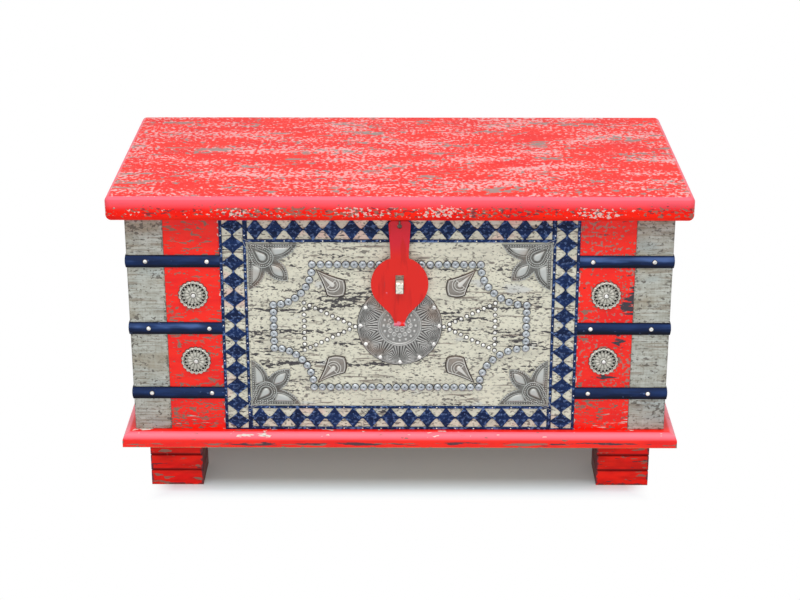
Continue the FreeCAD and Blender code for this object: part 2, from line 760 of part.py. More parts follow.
def medallion():
    """A pressed round plate: a flat rim for the studs, a ring of ridged petals and a raised inner ring."""
    rim_inner = medallion_radius - medallion_rim
    half = medallion_ring_width / 2
    crown = medallion_sheet + medallion_crown
    ridge = crown + medallion_ring_height
    petal_radius = (rim_inner + medallion_ring_radius) / 2
    rings = [(medallion_radius, 0, 0), (medallion_radius, medallion_sheet, 0),
             (rim_inner, medallion_sheet, 0), (petal_radius, crown, medallion_petal_relief),
             (medallion_ring_radius + half, crown, 0),
             (medallion_ring_radius, ridge, 0), (medallion_ring_radius - half, crown, 0),
             (medallion_boss_radius, crown, medallion_petal_relief),
             (medallion_boss_radius * head_flat_share, ridge, 0)]
    middle = V(0, front_face, body_middle)
    rows = []
    for radius, height, relief in rings:
        row = []
        for i in range(2 * medallion_petals):
            angle = math.pi * i / medallion_petals
            rise = height + (relief if i % 2 else -relief)
            row.append(middle + V(radius * math.cos(angle), -rise, radius * math.sin(angle)))
        rows.append(row)
    return stacked(rows, True).cut(staple_holes())


# Fasteners

def bead_tacks():
    """Round tacks along a frame whose four corners are scooped, its two rows set a little to the left."""
    w, h, r = frame_half_width, frame_half_height, frame_scoop_radius
    middle = V(0, front_face, frame_middle)
    shift = V(frame_row_shift, 0, 0)
    places = []
    for side in (1, -1):
        row_end = V(side * (w - r), 0, side * h)
        places += spaced(shift + V(-row_end.x, 0, row_end.z), shift + row_end, bead_pitch, False)
        places += spaced(V(side * w, 0, side * (h - r)), V(side * w, 0, -side * (h - r)), bead_pitch, False)
    steps = max(1, round(math.pi / 2 * r / bead_pitch))
    for side_x, side_z, first in ((1, 1, 0), (-1, -1, 0), (1, -1, 1), (-1, 1, 1)):
        for i in range(steps):
            angle = math.pi / 2 * (i + first) / steps
            inward = (r - side_x * frame_row_shift) * math.cos(angle)
            places.append(V(side_x * (w - inward), 0, side_z * (h - r * math.sin(angle))))
    drawn = {(round(p.x, 2), round(p.z, 2)): p for p in places}
    rings = [(bead_radius, 0), (bead_flat_radius, bead_height)]
    return Part.makeCompound([faceted(rings, middle + p, -AXIS_Y, head_sides) for p in drawn.values()])


def arrow_pins():
    """Fine pins in two arrows that point at the medallion."""
    tip_x = medallion_radius + arrow_gap
    pins = []
    for side in sides.values():
        tip = V(side * tip_x, front_face, frame_middle)
        tails = [V(side * arrow_tail_x, front_face, frame_middle + rise * arrow_half_height)
                 for rise in (1, -1)]
        places = spaced(tip, tails[0], pin_pitch, False) + spaced(tails[0], tails[1], pin_pitch, False)
        places += spaced(tails[1], tip, pin_pitch, False)
        pins += [round_head(pin_radius, pin_height, p, -AXIS_Y, pin_sides) for p in places]
    return Part.makeCompound(pins)


def round_head_nails():
    """The nails of the straps, the rosettes and the medallion, where the staple takes the topmost place."""
    proud = strap_edge_thickness + strap_crown
    heads = []

    def head(place, way=-AXIS_Y):
        return round_head(nail_radius, nail_height, place, way, head_sides)

    for side in sides.values():
        for height in strap_heights:
            for x in (post_middle_x, centre_half_width + strap_nail_inset):
                heads.append(head(V(side * x, front_face - proud, height)))
            for y in (post_middle_y, body_half_depth - strap_end_leg + strap_nail_inset):
                heads.append(head(V(side * (body_half_length + proud), -y, height), AXIS_X * side))
        for height in rosette_heights:
            heads.append(head(V(side * rosette_x, front_face - rosette_sheet - rosette_boss_height, height)))
    ring = medallion_radius - medallion_stud_inset
    for i in range(1, medallion_studs):
        angle = 2 * math.pi * i / medallion_studs
        heads.append(head(V(ring * math.sin(angle), front_face - medallion_sheet,
                            body_middle + ring * math.cos(angle))))
    return Part.makeCompound(heads)


def foot_screws():
    return Part.makeCompound([foot_screw(x, y, long)
                              for x in (-1, 1) for y in (-1, 1) for long in (True, False)])


def build():
    parts = {"lid_board": lid_board(), "front_centre_panel": front_centre_panel(),
             "back_panel": back_panel(), "bottom_board": bottom_board(), "medallion": medallion(),
             "hasp": hasp(), "hasp_eye": hasp_eye(), "hasp_staple": hasp_staple(),
             "bead_tacks": bead_tacks(), "arrow_pins": arrow_pins(),
             "round_head_nails": round_head_nails(), "foot_screws": foot_screws(),
             "hinge_lid_screws": hinge_screws(True), "hinge_back_screws": hinge_screws(False)}
    parts.update(plinth_rails())
    parts.update(border_strips())
    for name, side in sides.items():
        parts[f"front_{name}_board"] = front_side_board(side)
        parts[f"{name}_end_panel"] = end_panel(side)
        parts[f"hinge_{name}_lid_leaf"] = hinge_leaf_solid(side, True)
        parts[f"hinge_{name}_back_leaf"] = hinge_leaf_solid(side, False)
        parts[f"hinge_{name}_pin"] = hinge_pin(side)
        for end, side_y in (("front", -1), ("back", 1)):
            parts[f"{end}_{name}_post"] = corner_post(side, side_y)
            parts[f"{end}_{name}_foot"] = foot(side, side_y)
        for level, height in zip(("lower", "middle", "upper"), strap_heights):
            parts[f"{level}_{name}_strap"] = corner_strap(side, height)
        for level, height in zip(("lower", "upper"), rosette_heights):
            parts[f"{level}_{name}_rosette"] = rosette(side, height)
            parts[f"{level}_{name}_corner_plate"] = corner_plate(side, level == "upper")
            parts[f"{level}_{name}_leaf"] = leaf_plate(side, level == "upper")
    return parts


def main():
    os.makedirs("parts", exist_ok=True)
    for name, shape in build().items():
        shape.exportStep(f"parts/{name}.step")


main()
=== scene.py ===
import math
import bmesh
import bpy
from mathutils import Matrix, Vector


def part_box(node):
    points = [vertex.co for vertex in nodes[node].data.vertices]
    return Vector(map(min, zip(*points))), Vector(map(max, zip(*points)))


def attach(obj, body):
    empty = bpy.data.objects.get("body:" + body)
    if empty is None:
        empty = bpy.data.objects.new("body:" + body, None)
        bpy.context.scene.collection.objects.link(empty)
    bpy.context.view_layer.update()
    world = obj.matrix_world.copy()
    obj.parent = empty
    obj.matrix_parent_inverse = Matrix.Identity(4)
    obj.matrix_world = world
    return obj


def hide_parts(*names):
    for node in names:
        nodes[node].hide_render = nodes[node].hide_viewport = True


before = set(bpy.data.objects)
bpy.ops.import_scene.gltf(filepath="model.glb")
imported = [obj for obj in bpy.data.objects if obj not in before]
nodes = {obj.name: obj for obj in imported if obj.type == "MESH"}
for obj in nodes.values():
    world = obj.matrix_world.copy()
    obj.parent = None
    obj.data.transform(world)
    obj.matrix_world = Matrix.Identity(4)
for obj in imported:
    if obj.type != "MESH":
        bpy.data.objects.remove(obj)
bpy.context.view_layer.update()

# places read from the frame, in metres
lidLow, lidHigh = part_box("lid_board")
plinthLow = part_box("plinth_front_rail")[0]
panelLow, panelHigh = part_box("front_centre_panel")
boardLow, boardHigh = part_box("front_right_board")
postLow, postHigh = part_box("front_right_post")
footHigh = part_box("front_right_foot")[1]
frontFace = panelLow.y
caseFoot = postLow.z
bodyHalfLength = postHigh.x
bodyHalfDepth = -postLow.y

sideNames = {-1: "left", 1: "right"}
levelNames = {-1: "lower", 1: "upper"}
quarterTurn = math.pi / 2
sameSpot = 1e-6          # vertices nearer than this are merged
roundingSlack = 1e-9     # keeps the last of a row of even steps on its line
print("frame loaded,", len(nodes), "nodes")


# Shader sums

class Paint:
    # wraps a node's output, so that a sum on it adds its Math nodes
    def __init__(self, tree, socket=None):
        self.tree = tree
        self.socket = socket

    def add(self, kind, settings=None, inputs=None, out=0):
        made = self.tree.nodes.new("ShaderNode" + kind)
        for key, value in (settings or {}).items():
            setattr(made, key, value)
        for key, value in (inputs or {}).items():
            if isinstance(value, Paint):
                self.tree.links.new(value.socket, made.inputs[key])
            else:
                made.inputs[key].default_value = value
        return Paint(self.tree, made.outputs[out])

    def other(self, out):
        return Paint(self.tree, self.socket.node.outputs[out])

    def sum(self, operation, first, second=0.0):
        return self.add("Math", {"operation": operation}, {0: first, 1: second})

    def __add__(self, value):
        return self.sum("ADD", self, value)

    def __radd__(self, value):
        return self.sum("ADD", value, self)

    def __sub__(self, value):
        return self.sum("SUBTRACT", self, value)

    def __rsub__(self, value):
        return self.sum("SUBTRACT", value, self)

    def __mul__(self, value):
        return self.sum("MULTIPLY", self, value)

    def __rmul__(self, value):
        return self.sum("MULTIPLY", value, self)

    def __truediv__(self, value):
        return self.sum("DIVIDE", self, value)

    def __rtruediv__(self, value):
        return self.sum("DIVIDE", value, self)

    def __abs__(self):
        return self.sum("ABSOLUTE", self)

    def __gt__(self, value):
        return self.sum("GREATER_THAN", self, value)

    def __lt__(self, value):
        return self.sum("LESS_THAN", self, value)

    def least(self, value):
        return self.sum("MINIMUM", self, value)

    def most(self, value):
        return self.sum("MAXIMUM", self, value)

    def fade(self, start, end):
        # 0 at start, 1 at end, smooth between
        return self.add("MapRange", {"interpolation_type": "SMOOTHSTEP"}, {0: self, 1: start, 2: end})

    def blend(self, under, over):
        # a colour: under where this mask is 0, over where it is 1
        return self.add("Mix", {"data_type": "RGBA"}, {0: self, 6: under, 7: over}, out=2)


def rgb(red, green, blue):
    # a colour as it is seen, 0 to 255, made linear
    def linear(level):
        level = level / 255
        return level / 12.92 if level <= 0.04045 else ((level + 0.055) / 1.055) ** 2.4
    return (linear(red), linear(green), linear(blue), 1)


def startFinish(name):
    material = bpy.data.materials.new(name)
    material.use_nodes = True
    return material, Paint(material.node_tree), material.node_tree.nodes["Principled BSDF"]


def feed(shader, values):
    # values and links for the shader's own sockets
    for key, value in values.items():
        if isinstance(value, Paint):
            value.tree.links.new(value.socket, shader.inputs[key])
        else:
            shader.inputs[key].default_value = value


def split(paint, out):
    # the three parts of a place or a direction on the piece
    whole = paint.add("TexCoord", out=out)
    first = paint.add("SeparateXYZ", None, {0: whole})
    return first, first.other(1), first.other(2)


def gatheredDirtAndShade(paint):
    # the level of dirt and painted shade, dark in the foot of raised forms, that is kept on the piece's own
    # vertices
    return paint.add("Attribute", {"attribute_name": "dirtAndShade"}, out="Fac")


def dent(paint, height, distance):
    return paint.add("Bump", None, {"Height": height, "Strength": 1.0, "Distance": distance})


# Wear: flecks along the grain, gathered in clusters and kept to zones

wearRules = {"endFacing": 0.7, "fleckRoughness": 0.6, "middle": 0.5, "zonePull": 0.5, "seedsEach": 3.0}


def boardGrid(paint, run=None, topShare=1.0):
    # along the grain and across it, whichever way the face looks
    x, y, z = split(paint, "Object")
    if run == "y":
        return y, x + z
    onEnd = abs(split(paint, "Normal")[0]) > wearRules["endFacing"]
    return x + (y - x) * onEnd, z + y * topShare * (1 - onEnd)


def flecks(grid, size, seed, detail=2.0):
    # noise drawn out along the grain, with flecks of about a third of that length and height
    along, across = grid
    spot = along.add("CombineXYZ", None, {0: along / size[0], 1: across / size[1], 2: seed})
    return spot.add("TexNoise", None, {"Vector": spot, "Scale": 1.0, "Detail": detail,
                                       "Roughness": wearRules["fleckRoughness"]})


def mark(look, size, start, cover=1.0, soft=0.035, detail=2.0, cluster=None, zones=()):
    # one kind of damage: flecks of one look show where the noise passes the start level, and only in the
    # zones that are named; a cluster is the length, height and pull of the patches that they gather in
    return {"look": look, "size": size, "start": start, "cover": cover, "soft": soft, "detail": detail,
            "cluster": cluster, "zones": zones}


def marked(colour, wear, looks, grid, zones):
    # one kind of damage over another: each covers the colour so far and is kept for the relief
    worn = 0.0
    for i, kind in enumerate(wear["marks"]):
        seed = wear["seed"] + wearRules["seedsEach"] * i
        field = flecks(grid, kind["size"], seed + 1.0, kind["detail"])
        if kind["cluster"]:
            length, height, pull = kind["cluster"]
            field = field + (flecks(grid, (length, height), seed + 2.0) - wearRules["middle"]) * pull
        for zone in kind["zones"]:
            field = field + (zones[zone] - 1) * wearRules["zonePull"]
        cover = field.fade(kind["start"], kind["start"] + kind["soft"]) * kind["cover"]
        colour = cover.blend(colour, looks[kind["look"]])
        worn = cover.most(worn)
    return colour, worn


def edgeGap(paint, low, high):
    # how far a spot on a box is from the box's nearest edge: the middle one of three depths
    gaps = []
    for place, a, b in zip(split(paint, "Object"), low, high):
        gaps.append((b - a) / 2 - abs(place - (a + b) / 2))
    return gaps[0].least(gaps[1]).most(gaps[0].most(gaps[1]).least(gaps[2]))


# Finishes of the wood

# flecks are given as their length and height, a seed and a detail, and ranges as start and end
bareLook = {"pale": rgb(204, 170, 124), "dark": rgb(160, 122, 80), "pore": rgb(112, 80, 50),
            "tone": ((0.5, 0.02), 31.0, 3.0), "grain": ((0.09, 0.0016), 32.0, 4.0),
            "pores": ((0.018, 0.0012), 33.0, 1.0), "grainShare": 0.5, "darkRange": (0.38, 0.64),
            "poreRange": (0.60, 0.70), "poreCover": 0.6, "roughness": 0.72, "relief": 0.0004}


def bareColour(grid):
    look = bareLook
    grain = flecks(grid, *look["grain"])
    mixed = flecks(grid, *look["tone"]) * (1 - look["grainShare"]) + grain * look["grainShare"]
    colour = mixed.fade(*look["darkRange"]).blend(look["pale"], look["dark"])
    pores = flecks(grid, *look["pores"]).fade(*look["poreRange"]) * look["poreCover"]
    return pores.blend(colour, look["pore"]), grain


def bareWood(name):
    material, paint, shader = startFinish(name)
    colour, grain = bareColour(boardGrid(paint))
    feed(shader, {"Base Color": colour, "Roughness": bareLook["roughness"],
                  "Normal": dent(paint, grain, bareLook["relief"])})
    return material


# the pink colour here is a painted highlight for rounded upper edges, and the dark red also gives the feet
# painted shade
redLook = {"red": rgb(248, 34, 16), "deepRed": rgb(234, 20, 16), "darkRedAndShade": rgb(92, 8, 14),
           "oldCoat": rgb(126, 108, 94), "pale": rgb(222, 212, 202), "dark": rgb(60, 54, 62),
           "chalk": rgb(234, 178, 178), "slate": rgb(146, 146, 140), "speck": rgb(158, 122, 112),
           "paintedHighlight": rgb(252, 120, 138), "roughness": 0.36, "wornRoughness": 0.62, "specular": 0.3,
           "tone": (0.07, 0.02), "deepRange": (0.38, 0.70), "topFacing": (0.75, 0.97),
           "byEdge": (0.007, 0.0005), "offEdge": (0.003, 0.008), "spotReach": (1.1, 0.2),
           "highlightFacing": (0.10, 0.60), "notFlat": (0.999, 0.93), "highlightBandCover": 0.7,
           "inwardShadeFacing": (0.4, 0.9), "grooveShadeReach": (0.0032, 0.0006), "grooveShadeCover": 0.85,
           "grainRelief": 0.2, "wornRelief": 0.6, "relief": 0.0005}


def redZones(paint, wear, upward, low, high):
    # where the damage of a red piece may show, each 0 to 1
    x, y, z = split(paint, "Object")
    edge = edgeGap(paint, low, high)
    onTop = upward.fade(*redLook["topFacing"])
    zones = {"top": onTop, "side": 1 - onTop, "edge": edge.fade(*redLook["byEdge"]),
             "inner": edge.fade(*redLook["offEdge"])}
    axes = {"x": x, "y": y, "z": z, "width": abs(x)}
    for zone, (axis, start, end) in wear.get("bands", {}).items():
        zones[zone] = axes[axis].fade(start, end)
    for zone, (spotX, spotZ, reachX, reachZ) in wear.get("spots", {}).items():
        away = abs(x - spotX) / reachX + abs(z - spotZ) / reachZ
        zones[zone] = away.fade(*redLook["spotReach"])
    return zones


def redPaint(name, wear, low, high, bare, run=None):
    # red paint over an older grey coat; the wear lists each kind of damage
    look = redLook
    material, paint, shader = startFinish(name)
    x, y, z = split(paint, "Object")
    facing = split(paint, "Normal")
    upward = facing[2]
    grid = boardGrid(paint, run, wear.get("topShare", 1.0))
    tone = flecks(grid, look["tone"], wear["seed"])
    colour = tone.fade(*look["deepRange"]).blend(look["red"], look["deepRed"])
    if "paintedHighlight" in wear:
        # the rounded upper edge gets a painted pale highlight
        notFlat = upward.fade(*look["notFlat"])
        highlightMask = upward.fade(*look["highlightFacing"]) * notFlat
        if "paintedHighlightBand" in wear:
            highlightMask = highlightMask.most(z.fade(*wear["paintedHighlightBand"]) * notFlat * look["highlightBandCover"])
        colour = (highlightMask * wear["paintedHighlight"]).blend(colour, look["paintedHighlight"])
    if "inwardShade" in wear:
        # painted shade in dark red on the feet's inner sides, which face each other
        inward = facing[0] * ((x < 0) - (x > 0))
        colour = (inward.fade(*look["inwardShadeFacing"]) * wear["inwardShade"]).blend(colour, look["darkRedAndShade"])
    # painted shade in dark red along each groove between the foot's tiers
    for level in wear.get("grooveShadeLevels", ()):
        grooveShade = abs(z - level).fade(*look["grooveShadeReach"]) * look["grooveShadeCover"]
        colour = grooveShade.blend(colour, look["darkRedAndShade"])
    colour, worn = marked(colour, wear, look, grid, redZones(paint, wear, upward, low, high))
    woodColour, grain = bareColour(boardGrid(paint, run))
    colour = bare(x, y, z).blend(colour, woodColour)
    rough = look["roughness"] + worn * (look["wornRoughness"] - look["roughness"])
    relief = grain * look["grainRelief"] - worn * look["wornRelief"]
    feed(shader, {"Base Color": colour, "Roughness": rough, "Normal": dent(paint, relief, look["relief"]),
                  "Specular IOR Level": wear.get("specular", look["specular"])})
    return material


# the borders, the outer field and the flank are distances from the panel's middle
creamLook = {"cream": rgb(217, 212, 192), "shade": rgb(200, 195, 177), "tick": rgb(104, 98, 92),
             "crack": rgb(48, 44, 50), "brown": rgb(112, 98, 90), "smear": rgb(178, 183, 196),
             "pink": rgb(226, 188, 174), "seed": 60.0, "tone": ((0.05, 0.015), 45.0, 3.0),
             "shadeRange": (0.42, 0.68), "sideBorder": (0.190, 0.215), "levelBorder": (0.10, 0.13),
             "outerField": (0.04, 0.10), "outerLoss": 0.13, "flank": (0.03, 0.09),
             "roughness": 0.55, "wornRoughness": 0.2, "grainRelief": 0.25, "wornRelief": 0.6,
             "relief": 0.0005}
creamLook["marks"] = [
    mark("pink", (0.09, 0.05), 0.52, cover=0.75, soft=0.12, zones=["border"]),
    mark("smear", (0.06, 0.03), 0.62, cover=0.4, soft=0.10),
    mark("tick", (0.0052, 0.0036), 0.545, cover=0.5, soft=0.12, detail=1.0),
    mark("tick", (0.0075, 0.0042), 0.612, cover=0.85, soft=0.05, detail=1.0, cluster=(0.10, 0.03, 0.4)),
    mark("brown", (0.07, 0.0040), 0.630, cover=0.8, detail=3.0, cluster=(0.12, 0.05, 0.5)),
    mark("crack", (0.0095, 0.0036), 0.615, cover=0.95, cluster=(0.13, 0.012, 1.0), zones=["field"]),
    mark("crack", (0.09, 0.015), 0.685, cover=0.9, detail=6.0, cluster=(0.15, 0.06, 0.4),
         zones=["flank", "field"])]


def creamPaint(name, bare):
    # cream paint with cracks along the grain that show dark wood
    look = creamLook
    material, paint, shader = startFinish(name)
    x, y, z = split(paint, "Object")
    grid = boardGrid(paint)
    fromMiddle = abs(z - (panelLow.z + panelHigh.z) / 2)
    borders = abs(x).fade(*look["sideBorder"]).most(fromMiddle.fade(*look["levelBorder"]))
    outer = fromMiddle.fade(*look["outerField"]).most(borders)
    zones = {"border": borders, "flank": x.fade(*look["flank"]), "field": 1 - outer * look["outerLoss"]}
    colour = flecks(grid, *look["tone"]).fade(*look["shadeRange"]).blend(look["cream"], look["shade"])
    colour, worn = marked(colour, look, look, grid, zones)
    woodColour, grain = bareColour(grid)
    colour = bare(x, y, z).blend(colour, woodColour)
    relief = grain * look["grainRelief"] - worn * look["wornRelief"]
    feed(shader, {"Base Color": colour, "Roughness": look["roughness"] + worn * look["wornRoughness"],
                  "Normal": dent(paint, relief, look["relief"])})
    return material


washLook = {"pale": rgb(186, 187, 178), "grey": rgb(156, 154, 142), "brown": rgb(146, 132, 106),
            "cool": rgb(158, 170, 170), "shadow": rgb(112, 104, 90), "fleck": rgb(72, 64, 56),
            "rust": rgb(112, 92, 68), "seed": 90.0, "brush": ((0.04, 0.0028), 51.0, 3.0),
            "thread": ((0.0028, 0.05), 52.0, 2.0), "patchy": ((0.02, 0.010), 53.0, 3.0),
            "weaveShares": {"brush": 0.5, "thread": 0.2, "patchy": 0.3}, "paleRange": (0.41, 0.59),
            "byEdge": (0.010, 0.001), "byTop": (0.065, 0.02), "roughness": 0.6, "wornRelief": 0.4,
            "relief": 0.0004}
washLook["marks"] = [
    mark("brown", (0.12, 0.05), 0.50, cover=0.5, soft=0.16),
    mark("cool", (0.11, 0.06), 0.52, cover=0.6, soft=0.14),
    mark("brown", (0.05, 0.03), 0.42, cover=0.6, soft=0.2, zones=["high"]),
    mark("shadow", (0.0055, 0.0045), 0.55, cover=0.45, soft=0.12, detail=1.0),
    mark("rust", (0.05, 0.0036), 0.57, cover=0.5, soft=0.10, detail=3.0, cluster=(0.08, 0.03, 0.7)),
    mark("fleck", (0.0065, 0.0050), 0.635, cover=0.75, soft=0.06, detail=1.0, cluster=(0.05, 0.03, 0.7)),
    mark("fleck", (0.014, 0.0036), 0.665, cover=0.65, cluster=(0.05, 0.03, 0.5)),
    mark("fleck", (0.009, 0.007), 0.50, cover=0.7, soft=0.08, zones=["edge"]),
    mark("fleck", (0.008, 0.0060), 0.56, cover=0.7, soft=0.08, zones=["high"])]


def greyWash(name, low, high, bare):
    # a thin grey wash with the brush marks of both ways in it
    look = washLook
    material, paint, shader = startFinish(name)
    x, y, z = split(paint, "Object")
    grid = boardGrid(paint)
    weave = 0.0
    for kind, share in look["weaveShares"].items():
        weave = flecks(grid, *look[kind]) * share + weave
    zones = {"edge": edgeGap(paint, low, high).fade(*look["byEdge"]),
             "high": (high.z - z).fade(*look["byTop"])}
    colour = weave.fade(*look["paleRange"]).blend(look["grey"], look["pale"])
    colour, worn = marked(colour, look, look, grid, zones)
    colour = bare(x, y, z).blend(colour, bareColour(grid)[0])
    feed(shader, {"Base Color": colour, "Roughness": look["roughness"],
                  "Normal": dent(paint, weave - worn * look["wornRelief"], look["relief"])})
    return material


# Finishes of the metal

blueLook = {"navy": rgb(12, 28, 62), "blue": rgb(20, 44, 90), "worn": rgb(106, 130, 178),
            "deep": rgb(4, 6, 18), "sheen": rgb(92, 122, 182), "roughness": 0.40, "toneRoughness": 0.15,
            "specular": 0.15, "metallic": 0.1, "tone": ((0.06, 0.012), 61.0, 3.0),
            "wear": ((0.011, 0.006), 62.0, 3.0), "blueRange": (0.36, 0.66), "wornRange": (0.66, 0.72),
            "wornCover": 0.5, "relief": 0.0003}
strapLook = {"toneRise": 0.3, "gleam": (0.11, 0.03), "gleamSeed": 64.0, "gleamDetail": 3.0,
             "gleamRange": (0.48, 0.68), "gleamCover": 0.6, "leastSheen": 0.05, "sheenStart": (0.40, 0.62),
             "sheenEnd": (0.98, 0.74), "shadeBelow": (0.40, 0.12), "shadeAbove": (0.88, 1.02),
             "shadeCover": 0.9}
reliefLook = {"grimeAndShadeRange": (0.45, 1.0), "grimeAndShadeCover": 0.7, "proudRange": (0.5, 0.0),
              "speckle": ((0.0055, 0.0045), 63.0, 1.0), "speckleRange": (0.52, 0.64), "speckleCover": 0.75}


def strapSheen(colour, grid, tone, height, strap):
    # a sheen along the strap's upper half, and shade at both its edges
    look = strapLook
    low, high = strap
    rise = (height - low) / (high - low) + (tone - wearRules["middle"]) * look["toneRise"]
    gleam = flecks(grid, look["gleam"], look["gleamSeed"] + low, look["gleamDetail"])
    gleam = gleam.fade(*look["gleamRange"])
    sheen = rise.fade(*look["sheenStart"]) * rise.fade(*look["sheenEnd"])
    colour = (sheen * (gleam * look["gleamCover"] + look["leastSheen"])).blend(colour, blueLook["sheen"])
    shade = rise.fade(*look["shadeBelow"]).most(rise.fade(*look["shadeAbove"])) * look["shadeCover"]
    return shade.blend(colour, blueLook["deep"])


def blueMetal(name, strap=None):
    # blue painted sheet: a strap has a painted sheen and painted shade, and the border is dark with grime and
    # painted shade in its hollows and worn bright on its relief
    look = blueLook
    material, paint, shader = startFinish(name)
    grid = boardGrid(paint)
    tone = flecks(grid, *look["tone"])
    wear = flecks(grid, *look["wear"])
    colour = tone.fade(*look["blueRange"]).blend(look["navy"], look["blue"])
    worn = wear.fade(*look["wornRange"]) * look["wornCover"]
    if strap:
        colour = strapSheen(colour, grid, tone, split(paint, "Object")[2], strap)
    else:
        grimeAndShade = gatheredDirtAndShade(paint)
        grimyAndShaded = grimeAndShade.fade(*reliefLook["grimeAndShadeRange"]) * reliefLook["grimeAndShadeCover"]
        colour = grimyAndShaded.blend(colour, look["deep"])
        speckle = flecks(grid, *reliefLook["speckle"]).fade(*reliefLook["speckleRange"])
        worn = worn.most(grimeAndShade.fade(*reliefLook["proudRange"]) * speckle * reliefLook["speckleCover"])
    colour = worn.blend(colour, look["worn"])
    feed(shader, {"Base Color": colour, "Roughness": look["roughness"] + tone * look["toneRoughness"],
                  "Metallic": look["metallic"], "Specular IOR Level": look["specular"],
                  "Normal": dent(paint, wear + tone, look["relief"])})
    return material


# each pressed plate adds a bright, a mid and a dark colour of its own
silverLook = {"warm": rgb(160, 132, 112), "metallic": 0.55, "roughness": 0.36, "dirtRoughness": 0.25,
              "grimeAndShade": ((0.010, 0.008), 71.0, 3.0), "grimeShare": 0.3, "tint": ((0.06, 0.05), 72.0, 2.0),
              "midRange": (0.02, 0.40), "darkRange": (0.52, 0.98), "warmRange": (0.52, 0.72),
              "warmCover": 0.4, "roughRange": (0.3, 1.0), "relief": 0.0002}


def silverMetal(name, look):
    # pressed plate: grime and painted shade in the foot of each raised form, bright where it stands proud
    material, paint, shader = startFinish(name)
    x, y, z = split(paint, "Object")
    grimeAndShade = flecks((x, z), *look["grimeAndShade"])
    tint = flecks((x, z), *look["tint"])
    level = gatheredDirtAndShade(paint) + (grimeAndShade - wearRules["middle"]) * look["grimeShare"]
    colour = level.fade(*look["midRange"]).blend(look["bright"], look["mid"])
    colour = level.fade(*look["darkRange"]).blend(colour, look["dark"])
    colour = (tint.fade(*look["warmRange"]) * look["warmCover"]).blend(colour, look["warm"])
    rough = look["roughness"] + level.fade(*look["roughRange"]) * look["dirtRoughness"]
    feed(shader, {"Base Color": colour, "Metallic": look["metallic"], "Roughness": rough,
                  "Normal": dent(paint, grimeAndShade, look["relief"])})
    return material


nailLook = {"bright": rgb(244, 243, 238), "mid": rgb(186, 186, 184), "dirtAndShade": rgb(58, 54, 54), "metallic": 0.4,
            "roughness": 0.3, "dirtRoughness": 0.35, "grimeAndShade": ((0.006, 0.005), 81.0, 2.0), "grimeShare": 0.3,
            "midRange": (0.40, 0.68), "dirtAndShadeRange": (0.25, 0.85), "relief": 0.0001}


def nailMetal(name, look):
    # bright heads with dirt and painted shade gathered where the attribute says
    material, paint, shader = startFinish(name)
    x, y, z = split(paint, "Object")
    grimeAndShade = flecks((x, z), *look["grimeAndShade"])
    colour = grimeAndShade.fade(*look["midRange"]).blend(look["bright"], look["mid"])
    level = gatheredDirtAndShade(paint) + (grimeAndShade - wearRules["middle"]) * look["grimeShare"]
    gathered = level.fade(*look["dirtAndShadeRange"])
    colour = gathered.blend(colour, look["dirtAndShade"])
    feed(shader, {"Base Color": colour, "Metallic": look["metallic"],
                  "Roughness": look["roughness"] + gathered * look["dirtRoughness"],
                  "Normal": dent(paint, grimeAndShade, look["relief"])})
    return material


# the tip is measured up from the hasp's foot, and the pink head down from its top
haspLook = {"red": rgb(218, 28, 16), "shade": rgb(194, 24, 18), "pink": rgb(206, 24, 46),
            "worn": rgb(206, 120, 142), "scratch": rgb(168, 58, 62), "seed": 95.0,
            "tone": ((0.03, 0.05), 91.0, 3.0), "tip": (0.010, 0.003), "head": (0.056, 0.030),
            "headCover": 0.85, "roughness": 0.42, "wornRoughness": 0.2, "specular": 0.3, "toneRelief": 0.5,
            "relief": 0.0003}
haspLook["marks"] = [
    mark("shade", (0.012, 0.07), 0.54, cover=0.7, soft=0.12),
    mark("scratch", (0.006, 0.10), 0.68, cover=0.6),
    mark("worn", (0.010, 0.010), 0.73, cover=0.6),
    mark("worn", (0.012, 0.010), 0.46, cover=0.8, zones=["tip"])]


def haspPaint(name):
    look = haspLook
    material, paint, shader = startFinish(name)
    x, y, z = split(paint, "Object")
    low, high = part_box("hasp")
    zones = {"tip": (z - low.z).fade(*look["tip"])}
    head = (high.z - z).fade(*look["head"]) * look["headCover"]
    colour, worn = marked(head.blend(look["red"], look["pink"]), look, look, (x, z), zones)
    relief = flecks((x, z), *look["tone"]) * look["toneRelief"] - worn
    feed(shader, {"Base Color": colour, "Roughness": look["roughness"] + worn * look["wornRoughness"],
                  "Specular IOR Level": look["specular"], "Normal": dent(paint, relief, look["relief"])})
    return material


plainLooks = {"paleMetal": {"one": rgb(232, 228, 214), "two": rgb(170, 166, 150),
                            "metallic": 0.2, "roughness": 0.4},
              "hingeSteel": {"one": rgb(128, 124, 118), "two": rgb(70, 62, 56),
                             "metallic": 0.85, "roughness": 0.42}}
plainSpots = {"tone": ((0.004, 0.003), 95.0, 4.0), "range": (0.42, 0.68), "roughness": 0.2, "relief": 0.0002}


def plainMetal(name):
    look = plainLooks[name]
    material, paint, shader = startFinish(name)
    x, y, z = split(paint, "Object")
    tone = flecks((x + y, z), *plainSpots["tone"])
    spots = tone.fade(*plainSpots["range"])
    feed(shader, {"Base Color": spots.blend(look["one"], look["two"]), "Metallic": look["metallic"],
                  "Roughness": look["roughness"] + spots * plainSpots["roughness"],
                  "Normal": dent(paint, tone, plainSpots["relief"])})
    return material


# Shapes

def shapeFrom(bm):
    # a bmesh kept as a mesh that can be set down many times
    bmesh.ops.recalc_face_normals(bm, faces=bm.faces)
    shape = bpy.data.meshes.new("shape")
    bm.to_mesh(shape)
    bm.free()
    return shape


